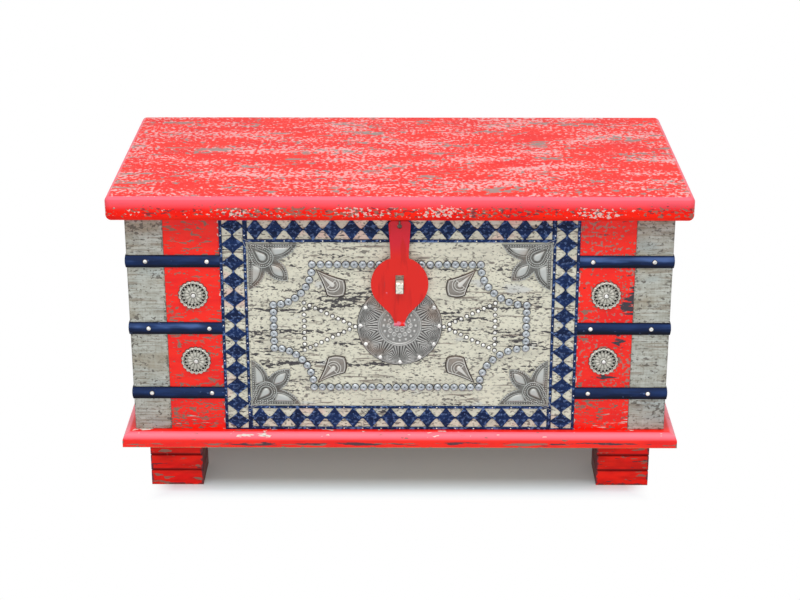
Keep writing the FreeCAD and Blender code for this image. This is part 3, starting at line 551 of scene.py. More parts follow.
def setDown(target, shape, place, foot=None, grimeAndShade=None):
    # adds a shape to a piece at one place and gives back its new vertices; a foot height gives them dirt and
    # painted shade, thick at that height and gone at the shape's top, and a given level gives all of them
    # that level
    before = len(target.verts)
    target.from_mesh(shape)
    if foot is not None:
        layer = target.verts.layers.float.get("dirtAndShade") or target.verts.layers.float.new("dirtAndShade")
    target.verts.ensure_lookup_table()
    fresh = target.verts[before:]
    if foot is not None:
        top = max(vert.co.z for vert in fresh)
        for vert in fresh:
            level = (top - vert.co.z) / max(top - foot, sameSpot) if grimeAndShade is None else grimeAndShade
            vert[layer] = min(1.0, max(0.0, level))
    bmesh.ops.transform(target, matrix=place, verts=fresh)
    return fresh


def onFront(x, z, turn=0.0, proud=0.0):
    # a shape made lying down, stood up on the chest's front
    stand = Matrix.Translation((x, frontFace - proud, z)) @ Matrix.Rotation(quarterTurn, 4, "X")
    return stand @ Matrix.Rotation(turn, 4, "Z")


def spun(profile, steps):
    # a profile of radius and height, spun about the upright axis
    bm = bmesh.new()
    spots = [bm.verts.new((radius, 0, height)) for radius, height in profile]
    edges = [bm.edges.new(pair) for pair in zip(spots, spots[1:])]
    bmesh.ops.spin(bm, geom=spots + edges, axis=(0, 0, 1), cent=(0, 0, 0), angle=math.tau, steps=steps,
                   use_merge=True)
    bmesh.ops.remove_doubles(bm, verts=bm.verts, dist=sameSpot)
    return bm


def turned(profile, steps):
    return shapeFrom(spun(profile, steps))


def raisedFace(bm, face):
    # the face at the top of a fresh extrusion
    grown = bmesh.ops.extrude_face_region(bm, geom=[face])["geom"]
    return [part for part in grown if isinstance(part, bmesh.types.BMFace)][0]


def pressed(points, layers, middle=(0, 0)):
    # an outline raised in layers, each a share of the outline and a height
    bm = bmesh.new()
    face = bm.faces.new([bm.verts.new((x, y, 0)) for x, y in points])
    centre = Vector((middle[0], middle[1], 0))
    shareNow, heightNow = 1.0, 0.0
    for share, height in layers:
        under, face = face, raisedFace(bm, face)
        if heightNow > 0:
            bmesh.ops.delete(bm, geom=[under], context="FACES_ONLY")
        ratio = share / shareNow
        bmesh.ops.scale(bm, vec=(ratio, ratio, 1), space=Matrix.Translation(-centre), verts=face.verts)
        bmesh.ops.translate(bm, vec=(0, 0, height - heightNow), verts=face.verts)
        shareNow, heightNow = share, height
    return shapeFrom(bm)


def raised(outline, foot, rise, layers, middle):
    # a form pressed up from its foot height, with layers as shares of the outline and of the rise
    return pressed(outline, [(1, foot)] + [(share, rise * part) for share, part in layers], middle), foot


def bowed(points, bows, steps):
    # a closed outline whose sides bow outwards by a share of their length
    path = []
    for i, bow in enumerate(bows):
        start, end = Vector(points[i]), Vector(points[(i + 1) % len(points)])
        side = end - start
        out = Vector((side.y, -side.x)) * bow
        count = steps if bow else 1
        for k in range(count):
            t = k / count
            path.append(start + side * t + out * (4 * t * (1 - t)))
    return path


def dropOutline(tip, middle, radius, steps=14):
    # a round end about the middle, drawn out to a point
    tip, middle = Vector(tip), Vector(middle)
    reach = (middle - tip).length
    lean = math.acos(min(1, radius / reach))
    heading = math.atan2(*(middle - tip).yx)
    path = [tip]
    for k in range(steps + 1):
        angle = heading - math.pi + lean + (2 * math.pi - 2 * lean) * k / steps
        path.append(middle + radius * Vector((math.cos(angle), math.sin(angle))))
    return path


def scaled(points, share, middle):
    centre = Vector(middle)
    return [centre + (Vector(spot) - centre) * share for spot in points]


def spacedAlong(points, pitch, closed=False):
    # even steps along a line of points
    ends = points[1:] + points[:1] if closed else points[1:]
    legs = [(Vector(a), Vector(b)) for a, b in zip(points, ends)]
    total = sum((b - a).length for a, b in legs)
    count = max(1, round(total / pitch))
    step = total / count
    spots, gone, due = [], 0.0, step / 2
    for a, b in legs:
        length = (b - a).length
        while due <= gone + length + roundingSlack and len(spots) < count:
            spots.append(a.lerp(b, (due - gone) / length))
            due += step
        gone += length
    return spots


def ridge(points, radius, height):
    # a raised line: a thin bar bent along the closed loop of points
    curve = bpy.data.curves.new("ridge", "CURVE")
    curve.dimensions = "3D"
    curve.bevel_depth = radius
    curve.bevel_resolution = 1
    spline = curve.splines.new("POLY")
    spline.points.add(len(points) - 1)
    for spot, place in zip(spline.points, points):
        spot.co = (place[0], place[1], height, 1)
    spline.use_cyclic_u = True
    holder = bpy.data.objects.new("ridge", curve)
    bm = bmesh.new()
    bm.from_mesh(bpy.data.meshes.new_from_object(holder))
    bpy.data.objects.remove(holder)
    bpy.data.curves.remove(curve)
    return shapeFrom(bm)


def spunSheet(radius, rings, steps, relief, rim, trimFrom=0.7):
    # a disc made by a spin, pressed by a relief rule and trimmed to its rim, with a wall and a back
    bm = spun([(radius * i / rings, 0) for i in range(rings + 1)], steps)
    for vert in bm.verts:
        share = vert.co.xy.length / radius
        turn = math.atan2(vert.co.y, vert.co.x)
        height = relief(share, turn)
        trim = 1 - (1 - rim(turn)) * max(0.0, (share - trimFrom) / (1 - trimFrom))
        vert.co = (vert.co.x * trim, vert.co.y * trim, height)
    outer = [edge for edge in bm.edges if edge.is_boundary]
    wall = bmesh.ops.extrude_edge_only(bm, edges=outer)["geom"]
    for part in wall:
        if isinstance(part, bmesh.types.BMVert):
            part.co.z = 0
    bmesh.ops.holes_fill(bm, edges=[edge for edge in bm.edges if edge.is_boundary], sides=0)
    return shapeFrom(bm)


def finished(bm, name, body, material, replaced=(), smooth=35.0):
    # the piece's object at the origin, on its body, in place of its CAD nodes
    bmesh.ops.recalc_face_normals(bm, faces=bm.faces)
    mesh = bpy.data.meshes.new(name)
    bm.to_mesh(mesh)
    bm.free()
    mesh.materials.append(material)
    mesh.shade_smooth()
    mesh.set_sharp_from_angle(angle=math.radians(smooth))
    piece = bpy.data.objects.new(name, mesh)
    bpy.context.scene.collection.objects.link(piece)
    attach(piece, body)
    if replaced:
        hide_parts(*replaced)


def mergedCopy(nodeName):
    # a node's mesh is loose triangles, so a copy of it is merged first
    bm = bmesh.new()
    bm.from_mesh(nodes[nodeName].data)
    bmesh.ops.remove_doubles(bm, verts=bm.verts, dist=sameSpot)
    return bm


def islandBoxes(nodeName):
    # the boxes of a node's separate solids, in the order of the mesh
    bm = mergedCopy(nodeName)
    boxes, seen = [], set()
    for first in bm.verts:
        if first in seen:
            continue
        island, waiting = [], [first]
        seen.add(first)
        while waiting:
            vert = waiting.pop()
            island.append(vert.co)
            for edge in vert.link_edges:
                far = edge.other_vert(vert)
                if far not in seen:
                    seen.add(far)
                    waiting.append(far)
        low = Vector([min(spot[i] for spot in island) for i in range(3)])
        high = Vector([max(spot[i] for spot in island) for i in range(3)])
        boxes.append((low, high))
    bm.free()
    return boxes


def wearFinish(nodeName, material):
    for holder in nodes[nodeName].material_slots:
        holder.material = material


# Wooden pieces: the posts and boards are copies of the sawn ones with their showing edges rounded over

easing = {"post": 0.0016, "board": 0.0007, "segments": 3, "flatAngle": 0.01, "sharpAngle": 0.6,
          "planeReach": 1e-5}


def easedCopy(nodeName, pieceName, planes, radius, body, material):
    bm = mergedCopy(nodeName)
    bmesh.ops.dissolve_limit(bm, angle_limit=easing["flatAngle"], use_dissolve_boundaries=False,
                             verts=bm.verts, edges=bm.edges, delimit=set())

    def liesOn(edge, axis, level):
        return all(abs(vert.co[axis] - level) < easing["planeReach"] for vert in edge.verts)

    showing = []
    for edge in bm.edges:
        onPlane = any(liesOn(edge, axis, level) for axis, level in planes)
        if onPlane and edge.calc_face_angle(0) > easing["sharpAngle"]:
            showing.append(edge)
    bmesh.ops.bevel(bm, geom=showing, offset=radius, offset_type="OFFSET", affect="EDGES",
                    segments=easing["segments"], profile=0.5, material=-1, clamp_overlap=True)
    finished(bm, pieceName, body, material, [nodeName])


# where the wood is left bare: inside the case, under the lid, the plinth and the feet
bareReach = {"paintDepth": (-0.0022, -0.0030), "lidRim": 0.02, "underside": 0.0004}


def insideBare(x, y, z):
    # the case is painted on its outer faces only
    return (abs(x) - bodyHalfLength).most(abs(y) - bodyHalfDepth).fade(*bareReach["paintDepth"])


def lidBare(x, y, z):
    rim = bareReach["lidRim"]
    inside = (abs(x) < bodyHalfLength - rim) * (abs(y) < bodyHalfDepth - rim)
    return (z < lidLow.z + bareReach["underside"]) * inside


def plinthBare(x, y, z):
    return z < plinthLow.z + bareReach["underside"]


def footBare(x, y, z):
    return z < bareReach["underside"]


# a band is an axis with the places where a zone starts and is full, and a spot is its middle and its reach on
# the front; a spot that reaches far past both ends is a line along the whole piece
wholeLength = 20.0
# the lid gets a painted pale highlight along its rounded upper front edge
lidWear = {"seed": 100.0, "topShare": 0.45, "specular": 0.07, "paintedHighlight": 0.75,
           "paintedHighlightBand": (lidHigh.z - 0.021, lidHigh.z - 0.006),
           "spots": {"chipped": (0.0, lidLow.z + 0.0135, wholeLength, 0.018)}}
lidWear["marks"] = [
    mark("chalk", (0.0056, 0.0030), 0.490, cover=0.92, soft=0.18, detail=1.0, cluster=(0.12, 0.018, 0.75),
         zones=["top"]),
    mark("slate", (0.012, 0.0042), 0.645, cover=0.85, detail=3.0, cluster=(0.10, 0.016, 1.0), zones=["top"]),
    mark("slate", (0.06, 0.0050), 0.645, cover=0.9, detail=5.0, cluster=(0.14, 0.03, 0.5), zones=["top"]),
    mark("oldCoat", (0.0070, 0.0038), 0.570, cover=0.80, detail=1.0, cluster=(0.08, 0.04, 0.5),
         zones=["side", "chipped"]),
    mark("pale", (0.0055, 0.0034), 0.620, cover=0.66, detail=1.0, cluster=(0.08, 0.04, 0.7),
         zones=["side", "chipped"]),
    mark("dark", (0.0080, 0.0036), 0.655, cover=0.75, detail=1.0, cluster=(0.08, 0.04, 0.6),
         zones=["side", "chipped"]),
    mark("oldCoat", (0.008, 0.0045), 0.68, cover=0.8, zones=["side", "inner"])]

boardWear = {"seed": 140.0,
             "bands": {"low": ("z", caseFoot + 0.176, caseFoot + 0.056),
                       "foot": ("z", caseFoot + 0.041, caseFoot + 0.024),
                       "inward": ("width", boardLow.x + 0.0135, boardLow.x + 0.0025),
                       "leftHand": ("x", 0.02, -0.02), "rightHand": ("x", -0.02, 0.02),
                       "front": ("y", frontFace + 0.0125, frontFace + 0.0055)},
             "spots": {"patch": (boardHigh.x - 0.0075, caseFoot + 0.193, 0.060, 0.066),
                       "lowPatch": (boardHigh.x - 0.0305, caseFoot + 0.137, 0.020, 0.022),
                       # the under spot is a painted shadow streak below the rosette
                       "under": (boardHigh.x - 0.0515, caseFoot + 0.082, 0.045, 0.010)}}
boardWear["marks"] = [
    mark("oldCoat", (0.017, 0.0046), 0.590, cover=0.85, soft=0.05, cluster=(0.08, 0.05, 0.35),
         zones=["leftHand"]),
    mark("speck", (0.0056, 0.0046), 0.590, cover=0.85, soft=0.05, detail=1.0, cluster=(0.06, 0.04, 0.5),
         zones=["rightHand", "front"]),
    mark("oldCoat", (0.0085, 0.0060), 0.635, cover=0.9, cluster=(0.05, 0.04, 0.6)),
    mark("oldCoat", (0.010, 0.0040), 0.615, cluster=(0.06, 0.03, 0.5), zones=["low"]),
    mark("oldCoat", (0.05, 0.0048), 0.61, cover=0.9, detail=3.0, cluster=(0.06, 0.03, 0.5), zones=["foot"]),
    mark("pale", (0.030, 0.0036), 0.63, cover=0.8, detail=3.0, cluster=(0.06, 0.02, 0.5), zones=["foot"]),
    mark("dark", (0.02, 0.0050), 0.69, detail=3.0, cluster=(0.05, 0.05, 0.4)),
    mark("pale", (0.009, 0.008), 0.56, cover=0.8, zones=["edge", "inward"]),
    mark("dark", (0.040, 0.0062), 0.435, detail=4.0, zones=["patch"]),
    mark("dark", (0.018, 0.0055), 0.44, detail=4.0, zones=["lowPatch"]),
    # painted shadow below the rosette
    mark("dark", (0.03, 0.005), 0.46, zones=["under"])]

# the plinth gets a painted pale highlight along its rounded upper edge
plinthWear = {"seed": 180.0, "paintedHighlight": 0.8, "bands": {"high": ("z", plinthLow.z + 0.011, plinthLow.z + 0.016)},
              "spots": {"line": (0.0, plinthLow.z + 0.0055, wholeLength, 0.0062)}}
plinthWear["marks"] = [
    mark("oldCoat", (0.05, 0.0060), 0.53, cover=0.9, detail=4.0, cluster=(0.10, 0.05, 0.4), zones=["line"]),
    mark("dark", (0.045, 0.0050), 0.545, cover=0.95, detail=4.0, cluster=(0.09, 0.05, 0.6), zones=["line"]),
    mark("pale", (0.018, 0.0080), 0.665, cluster=(0.12, 0.05, 0.9), zones=["high"]),
    mark("oldCoat", (0.02, 0.006), 0.67, detail=3.0, cluster=(0.08, 0.05, 0.4)),
    mark("oldCoat", (0.016, 0.008), 0.58, zones=["edge"])]

# the feet get painted shade on their inner sides and along the grooves between their tiers
footWear = {"seed": 220.0, "specular": 0.12, "inwardShade": 0.94,
            "grooveShadeLevels": [footHigh.z / 3, footHigh.z * 2 / 3]}
footWear["marks"] = [
    mark("darkRedAndShade", (0.06, 0.02), 0.35, cover=0.38, soft=0.30),
    mark("oldCoat", (0.030, 0.007), 0.615, cover=0.85, detail=3.0, cluster=(0.05, 0.03, 0.5)),
    mark("dark", (0.035, 0.006), 0.645, detail=3.0, cluster=(0.05, 0.02, 0.5)),
    mark("dark", (0.012, 0.010), 0.38, cover=0.8, soft=0.12, zones=["edge"])]


def woodenCase():
    wearFinish("lid_board", redPaint("lidPaint", lidWear, lidLow, lidHigh, lidBare))
    for name, run in (("front", None), ("back", None), ("left", "y"), ("right", "y")):
        rail = f"plinth_{name}_rail"
        low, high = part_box(rail)
        wearFinish(rail, redPaint(f"plinthPaint.{name}", plinthWear, low, high, plinthBare, run))
    for end in ("front", "back"):
        for side in ("left", "right"):
            foot = f"{end}_{side}_foot"
            low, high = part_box(foot)
            wearFinish(foot, redPaint(f"footPaint.{end}.{side}", footWear, low, high, footBare))
    front, back = (1, -bodyHalfDepth), (1, bodyHalfDepth)
    left, right = (0, -bodyHalfLength), (0, bodyHalfLength)
    for end, endPlane in (("front", front), ("back", back)):
        for side, sidePlane in (("left", left), ("right", right)):
            post = f"{end}_{side}_post"
            low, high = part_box(post)
            wash = greyWash(f"postWash.{end}.{side}", low, high, insideBare)
            planes = [endPlane, sidePlane]
            easedCopy(post, f"post.{end}_{side}", planes, easing["post"], "chest", wash)
    for name, plane in (("front_left_board", front), ("front_right_board", front), ("back_panel", back),
                        ("left_end_panel", left), ("right_end_panel", right)):
        low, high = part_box(name)
        red = redPaint(f"boardPaint.{name}", boardWear, low, high, insideBare)
        easedCopy(name, f"board.{name}", [plane], easing["board"], "chest", red)
    wearFinish("front_centre_panel", creamPaint("creamPaint", insideBare))
    wearFinish("bottom_board", bareWood("bareWood"))


woodenCase()
print("wooden case finished")


# Pierced border: diamonds pressed between two plain lines, with a pin at each waist

# the pin's form is in shares of its radius, with the dirt and painted shade on it
border = {"pitch": 0.027, "line": 0.0042, "lineHeight": 0.0015, "lineEase": 0.0006, "overlap": 0.0006,
          "waist": 0.0022, "baseShare": 0.466, "round": 0.55, "quarterSteps": 7, "stepPower": 1.6,
          "sheet": 0.0010, "rim": 0.0014, "field": 0.0011, "rimShares": (0.94, 0.86), "fieldShare": 0.80,
          "petalStart": 0.0020, "petalReach": 0.0085, "petalHalf": 0.0019, "petalHeight": 0.0019,
          "petalTop": 0.6, "bossSteps": 8, "pinRadius": 0.0010, "pinSteps": 7,
          "boss": ((0.0016, 0), (0.0015, 0.0013), (0.0008, 0.0020), (0, 0.0022)),
          "pinForm": ((1.0, 0, 1.0), (0.9, 0.5, 0.2), (0.45, 0.85, 0.0), (0, 0.95, 0.0))}


def lensOutline(start, end, half, steps=4):
    # two bows between two points
    start, end = Vector(start), Vector(end)
    out = Vector(((end - start).y, -(end - start).x)).normalized() * half
    there = [start.lerp(end, k / steps) + out * math.sin(math.pi * k / steps) for k in range(steps)]
    back = [end.lerp(start, k / steps) - out * math.sin(math.pi * k / steps) for k in range(steps)]
    return there + back


def diamondShapes(pitch, height):
    # the metal between four openings, each a triangle with a rounded point
    b = border
    half, waist, bend, steps = pitch / 2, b["waist"] / 2, b["round"], b["quarterSteps"]
    quarter = []
    for k in range(steps + 1):
        t = (k / steps) ** b["stepPower"]
        wide = b["baseShare"] * pitch * math.sqrt((t * t + bend * t) / (1 + bend))
        quarter.append((half - wide, waist + (height - waist) * t))
    outline = quarter + [(-x, y) for x, y in quarter[::-1]]
    outline += [(-x, -y) for x, y in outline]
    layers = [(1, b["sheet"])] + [(share, b["rim"]) for share in b["rimShares"]]
    layers.append((b["fieldShare"], b["field"]))
    shapes = [(pressed(outline, layers), 0.0)]
    for i in range(4):
        way = Vector((math.cos(i * quarterTurn), math.sin(i * quarterTurn)))
        petal = lensOutline(way * b["petalStart"], way * b["petalReach"], b["petalHalf"])
        middle = way * (b["petalStart"] + b["petalReach"]) / 2
        shapes.append(raised(petal, b["field"], b["petalHeight"], [(b["petalTop"], 1)], middle))
    shapes.append((turned(b["boss"], b["bossSteps"]), b["field"]))
    return shapes


def barShape(length, width, height):
    # a plain line of the border with soft edges
    x, y = length / 2, width / 2
    bm = bmesh.new()
    corners = [bm.verts.new(spot) for spot in ((-x, -y, 0), (x, -y, 0), (x, y, 0), (-x, y, 0))]
    top = raisedFace(bm, bm.faces.new(corners))
    bmesh.ops.translate(bm, vec=(0, 0, height), verts=top.verts)
    bmesh.ops.bevel(bm, geom=list(top.edges), offset=border["lineEase"], offset_type="OFFSET", affect="EDGES",
                    segments=2, profile=0.5, material=-1)
    return shapeFrom(bm)


def borderStrip(name, upright, material, pins):
    low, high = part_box(f"border_{name}_strip")
    size = high - low
    length, width = (size.z, size.x) if upright else (size.x, size.z)
    centre = (low + high) / 2
    line = border["line"]
    count = max(1, round(length / border["pitch"]))
    pitch = length / count
    bm = bmesh.new()
    shapes = diamondShapes(pitch, width / 2 - line + border["overlap"])
    base = onFront(centre.x, centre.z, quarterTurn if upright else 0.0)
    for i in range(count):
        place = base @ Matrix.Translation(((i + 0.5) * pitch - length / 2, 0, 0))
        for shape, foot in shapes:
            setDown(bm, shape, place, foot)
    bar = barShape(length, line, border["lineHeight"])
    for side in (-1, 1):
        offset = side * (width / 2 - line / 2)
        setDown(bm, bar, base @ Matrix.Translation((0, offset, 0)), 0.0)
        for i in range(1, count):
            pins.append(base @ Matrix.Translation((i * pitch - length / 2, offset, border["lineHeight"])))
    tail = barShape(width - line, line / 2, border["sheet"])
    for end in (-1, 1):
        across = Matrix.Translation((end * (length / 2 - line / 4), 0, 0))
        setDown(bm, tail, base @ across @ Matrix.Rotation(quarterTurn, 4, "Z"), 0.0)
    finished(bm, f"border.{name}", "chest", material, [f"border_{name}_strip"])


def heads(name, profile, steps, places, material, replaced):
    # one round head set down at many places; a profile row is a radius, a height and the level of dirt and
    # painted shade kept there
    shape = turned([(radius, height) for radius, height, dirtAndShade in profile], steps)
    bm = bmesh.new()
    layer = bm.verts.layers.float.new("dirtAndShade")
    rows = sorted(profile)
    levels = []
    for vert in shape.vertices:
        radius, height = vert.co.xy.length, vert.co.z
        nearest = min(rows, key=lambda row: (row[0] - radius) ** 2 + (row[1] - height) ** 2)
        levels.append(nearest[2])
    for place in places:
        for vert, level in zip(setDown(bm, shape, place), levels):
            vert[layer] = level
    finished(bm, name, "chest", material, replaced)


def metalwork():
    blue = blueMetal("borderBlue")
    pins = []
    for name, upright in (("top", False), ("bottom", False), ("left", True), ("right", True)):
        borderStrip(name, upright, blue, pins)
    for level in ("lower", "middle", "upper"):
        low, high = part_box(f"{level}_left_strap")
        # a copy of the strap paint for each strap's height, with its painted sheen and painted shade
        strapSheenBlue = blueMetal(f"strapSheenBlue.{level}", (low.z, high.z))
        for side in ("left", "right"):
            wearFinish(f"{level}_{side}_strap", strapSheenBlue)
    size = border["pinRadius"]
    profile = [(radius * size, height * size, dirtAndShade) for radius, height, dirtAndShade in border["pinForm"]]
    bright = nailMetal("brightNail", nailLook)
    heads("border_pins", profile, border["pinSteps"], pins, bright, [])


metalwork()
print("border and straps finished")


# Rosettes: a scalloped pierced disc with petals round a nail

# shares are of the radius; a lobe is its middle, its bend and its spread, and an opening is its half width
# across the scallop, its middle and its reach
rosette = {"rings": 40, "steps": 216, "petals": 18, "innerPetals": 13, "scallop": 0.08, "smooth": 50.0,
           "base": 0.0016, "pit": 0.0002, "rimRise": 0.0023, "edgeShare": 0.972, "edgeHeight": 0.0004,
           "lobes": ((0.94, -0.40, 0.035), (0.83, 0.24, 0.03)),
           "midOpening": (0.36, 0.70, 0.115), "sideOpening": (0.24, 0.81, 0.060),
           "petalShares": (0.24, 0.58), "petalHalf": 0.22, "petalSwell": 0.26, "petalRound": 0.4,
           "endRound": 0.6, "petalRise": 0.0022, "petalFoot": 0.55,
           "boss": 0.0024, "bossFoot": 0.5, "bossRound": 0.5}
rosetteLook = dict(silverLook, bright=rgb(226, 226, 217), mid=rgb(178, 176, 166), dark=rgb(32, 30, 29))


def acrossPart(turn, count):
    # -0.5 to 0.5 across each of a number of equal parts of the circle, 0 in the middle
    return (turn * count / math.tau) % 1 - 0.5


def rosetteRelief(share, turn):
    r = rosette
    wave = acrossPart(turn, r["petals"])
    height = r["base"]
    for middle, bend, spread in r["lobes"]:
        lobe = middle + bend * wave * wave
        height += (r["rimRise"] - r["base"]) * math.exp(-((share - lobe) / spread) ** 2)
    # the openings sink to the pit height, which the dirt and painted shade level makes dark
    for gap, (half, middle, reach) in ((abs(wave), r["midOpening"]), (0.5 - abs(wave), r["sideOpening"])):
        if gap / half + abs(share - middle) / reach < 1:
            height = r["pit"]
    # past the edge share a low ring, dark with painted shadow, outlines the disc
    if share > r["edgeShare"]:
        height = r["edgeHeight"]
    start, end = r["petalShares"]
    if start < share < end:
        swell = math.sin(math.pi * (share - start) / (end - start)) ** r["endRound"]
        half = r["petalHalf"] + r["petalSwell"] * swell
        petal = max(0.0, 1 - abs(acrossPart(turn, r["innerPetals"])) / half)
        foot = r["base"] * r["petalFoot"]
        height = foot + (r["petalRise"] - foot) * petal ** r["petalRound"] * swell
    if share <= start:
        foot = r["base"] * r["bossFoot"]
        height = foot + (r["boss"] - foot) * math.cos(share / start * quarterTurn) ** r["bossRound"]
    return height


def rosetteRim(turn):
    return 1 - rosette["scallop"] * (2 * abs(acrossPart(turn, rosette["petals"]))) ** 2


def rosettes():
    shine = silverMetal("rosetteSilver", rosetteLook)
    for level in ("lower", "upper"):
        for side in ("left", "right"):
            node = f"{level}_{side}_rosette"
            low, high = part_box(node)
            radius = (high.x - low.x) / 2
            disc = spunSheet(radius, rosette["rings"], rosette["steps"], rosetteRelief, rosetteRim)
            bm = bmesh.new()
            setDown(bm, disc, onFront((low.x + high.x) / 2, (low.z + high.z) / 2), rosette["pit"])
            finished(bm, f"rosette.{level}_{side}", "chest", shine, [node], rosette["smooth"])


rosettes()
print("rosettes finished")


# Medallion: flat rim for the studs, a band of feathered fans and a field of small rings

# shares are of the radius
medallion = {"rings": 110, "steps": 480, "smooth": 60.0, "edgeShare": 0.985, "rimShare": 0.955,
             "rimHeight": 0.0016, "fans": 12, "fanRoot": 0.94, "fanBase": 0.0010, "fanRise": 0.0011,
             "barbs": 38, "curl": 7.0,
             "ringShares": (0.455, 0.495), "ringRise": 0.0010, "ringSpread": 0.010, "ringOuter": 0.025,
             "ringInner": 0.02, "field": 0.0014, "bossShare": 0.375, "bosses": 16, "bossSize": 0.036,
             "bossRise": 0.0011, "bossRound": 0.6, "hollows": ((0.25, 12), (0.12, 6), (0.0, 1)),
             "hollowRadius": 0.04125, "hollowSpread": 0.014, "foot": 0.0009}
medallionLook = dict(silverLook, bright=rgb(196, 196, 194), mid=rgb(157, 156, 153), dark=rgb(50, 47, 46))


def withinSector(turn, count):
    # the angle from the middle of the nearest of a number of equal sectors
    sector = math.tau / count
    return (turn + sector / 2) % sector - sector / 2


def bossGap(share, turn, row, count):
    # how far a spot is from the nearest of a row of bosses
    angle = withinSector(turn, count)
    return math.hypot(share * math.cos(angle) - row, share * math.sin(angle))


def medallionRelief(share, turn):
    m = medallion
    height = m["foot"] if share > m["edgeShare"] else m["rimHeight"]
    if share < m["rimShare"]:
        # fans of fine barbs that open inwards from each stud and curl a little on the way
        angle = withinSector(turn, m["fans"])
        inward, side = m["fanRoot"] - share * math.cos(angle), share * math.sin(angle)
        curl = math.hypot(inward, side) * m["curl"] * (1 if side > 0 else -1)
        barb = 0.5 + 0.5 * math.cos(math.atan2(side, inward) * m["barbs"] + curl)
        height = m["fanBase"] + m["fanRise"] * barb
    if share < m["ringShares"][1] + m["ringOuter"]:
        height = m["field"]
        for ringShare in m["ringShares"]:
            height += m["ringRise"] * math.exp(-((share - ringShare) / m["ringSpread"]) ** 2)
    if share < m["ringShares"][0] - m["ringInner"]:
        height = m["field"]
        gap = bossGap(share, turn, m["bossShare"], m["bosses"])
        if gap < m["bossSize"]:
            height += m["bossRise"] * math.cos(gap / m["bossSize"] * quarterTurn) ** m["bossRound"]
        for row, count in m["hollows"]:
            # a small ring with a dot in it
            gap = bossGap(share, turn, row, count)
            for radius in (m["hollowRadius"], 0.0):
                height += m["bossRise"] * math.exp(-((gap - radius) / m["hollowSpread"]) ** 2)
    return height


def medallionPlate():
    low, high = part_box("medallion")
    radius = (high.x - low.x) / 2
    disc = spunSheet(radius, medallion["rings"], medallion["steps"], medallionRelief, lambda turn: 1.0)
    bm = bmesh.new()
    setDown(bm, disc, onFront((low.x + high.x) / 2, (low.z + high.z) / 2), medallion["foot"])
    shine = silverMetal("medallionSilver", medallionLook)
    finished(bm, "medallion.plate", "chest", shine, ["medallion"], medallion["smooth"])


medallionPlate()
print("medallion finished")


# Corner plates: an eye in the corner, a petal along each edge and one on the diagonal

# places are shares of the plate's leg, and layers are shares of an outline and of its rise
cornerPlate = {"sheet": 0.0008, "smooth": 50.0, "plateGrimeAndShade": 0.80, "line": 0.00065, "lineShare": 0.975,
               "outline": ((0, 0), (1, 0), (0.58, 0.34), (0.79, 0.79), (0.34, 0.58), (0, 1)),
               "bows": (0, 0.13, 0.16, 0.16, 0.13, 0), "bowSteps": 10, "heart": (0.36, 0.36),
               "plateLayers": ((1, 0.6), (0.985, 1)),
               "bead": 0.00120, "beadForm": ((1, 0), (0.8, 0.8), (0, 1.2)), "beadSteps": 6,
               "beadPitch": 0.0034, "beadSeat": 0.9,
               "beadRows": (0.035, 0.085), "rowStart": (0.04, 0.10), "rowEnd": 0.93,
               "sideRow": 0.92, "bowedSides": (1, 2, 3, 4),
               "petals": (((0.45, 0.09), (0.86, 0.075), (0.52, 0.25)),
                          ((0.09, 0.45), (0.25, 0.52), (0.075, 0.86)),
                          ((0.45, 0.45), (0.64, 0.51), (0.71, 0.71), (0.51, 0.64))),
               "petalBows": ((0.02, 0.12, 0.05), (0.05, 0.12, 0.02), (0.06, 0.1, 0.1, 0.06)), "petalSteps": 6,
               "petalRise": 0.0026, "petalLayers": ((0.86, 0.75), (0.62, 0.94), (0.3, 1)),
               "petalLine": 0.8, "petalLineShare": 1.16,
               "eyeTip": (0.13, 0.13), "eyeMiddle": (0.29, 0.29), "eyeRadius": 0.085, "eyeRise": 0.0027,
               "eyeLayers": ((0.82, 0.8), (0.5, 1), (0.2, 1)),
               "plainRings": (1.5, 2.55), "beadRing": 2.05, "ringLine": 1.1, "ringLift": 0.0002,
               "ringPitch": 0.8}
cornerLook = dict(silverLook, bright=rgb(184, 187, 184), mid=rgb(161, 162, 157), dark=rgb(52, 48, 45))


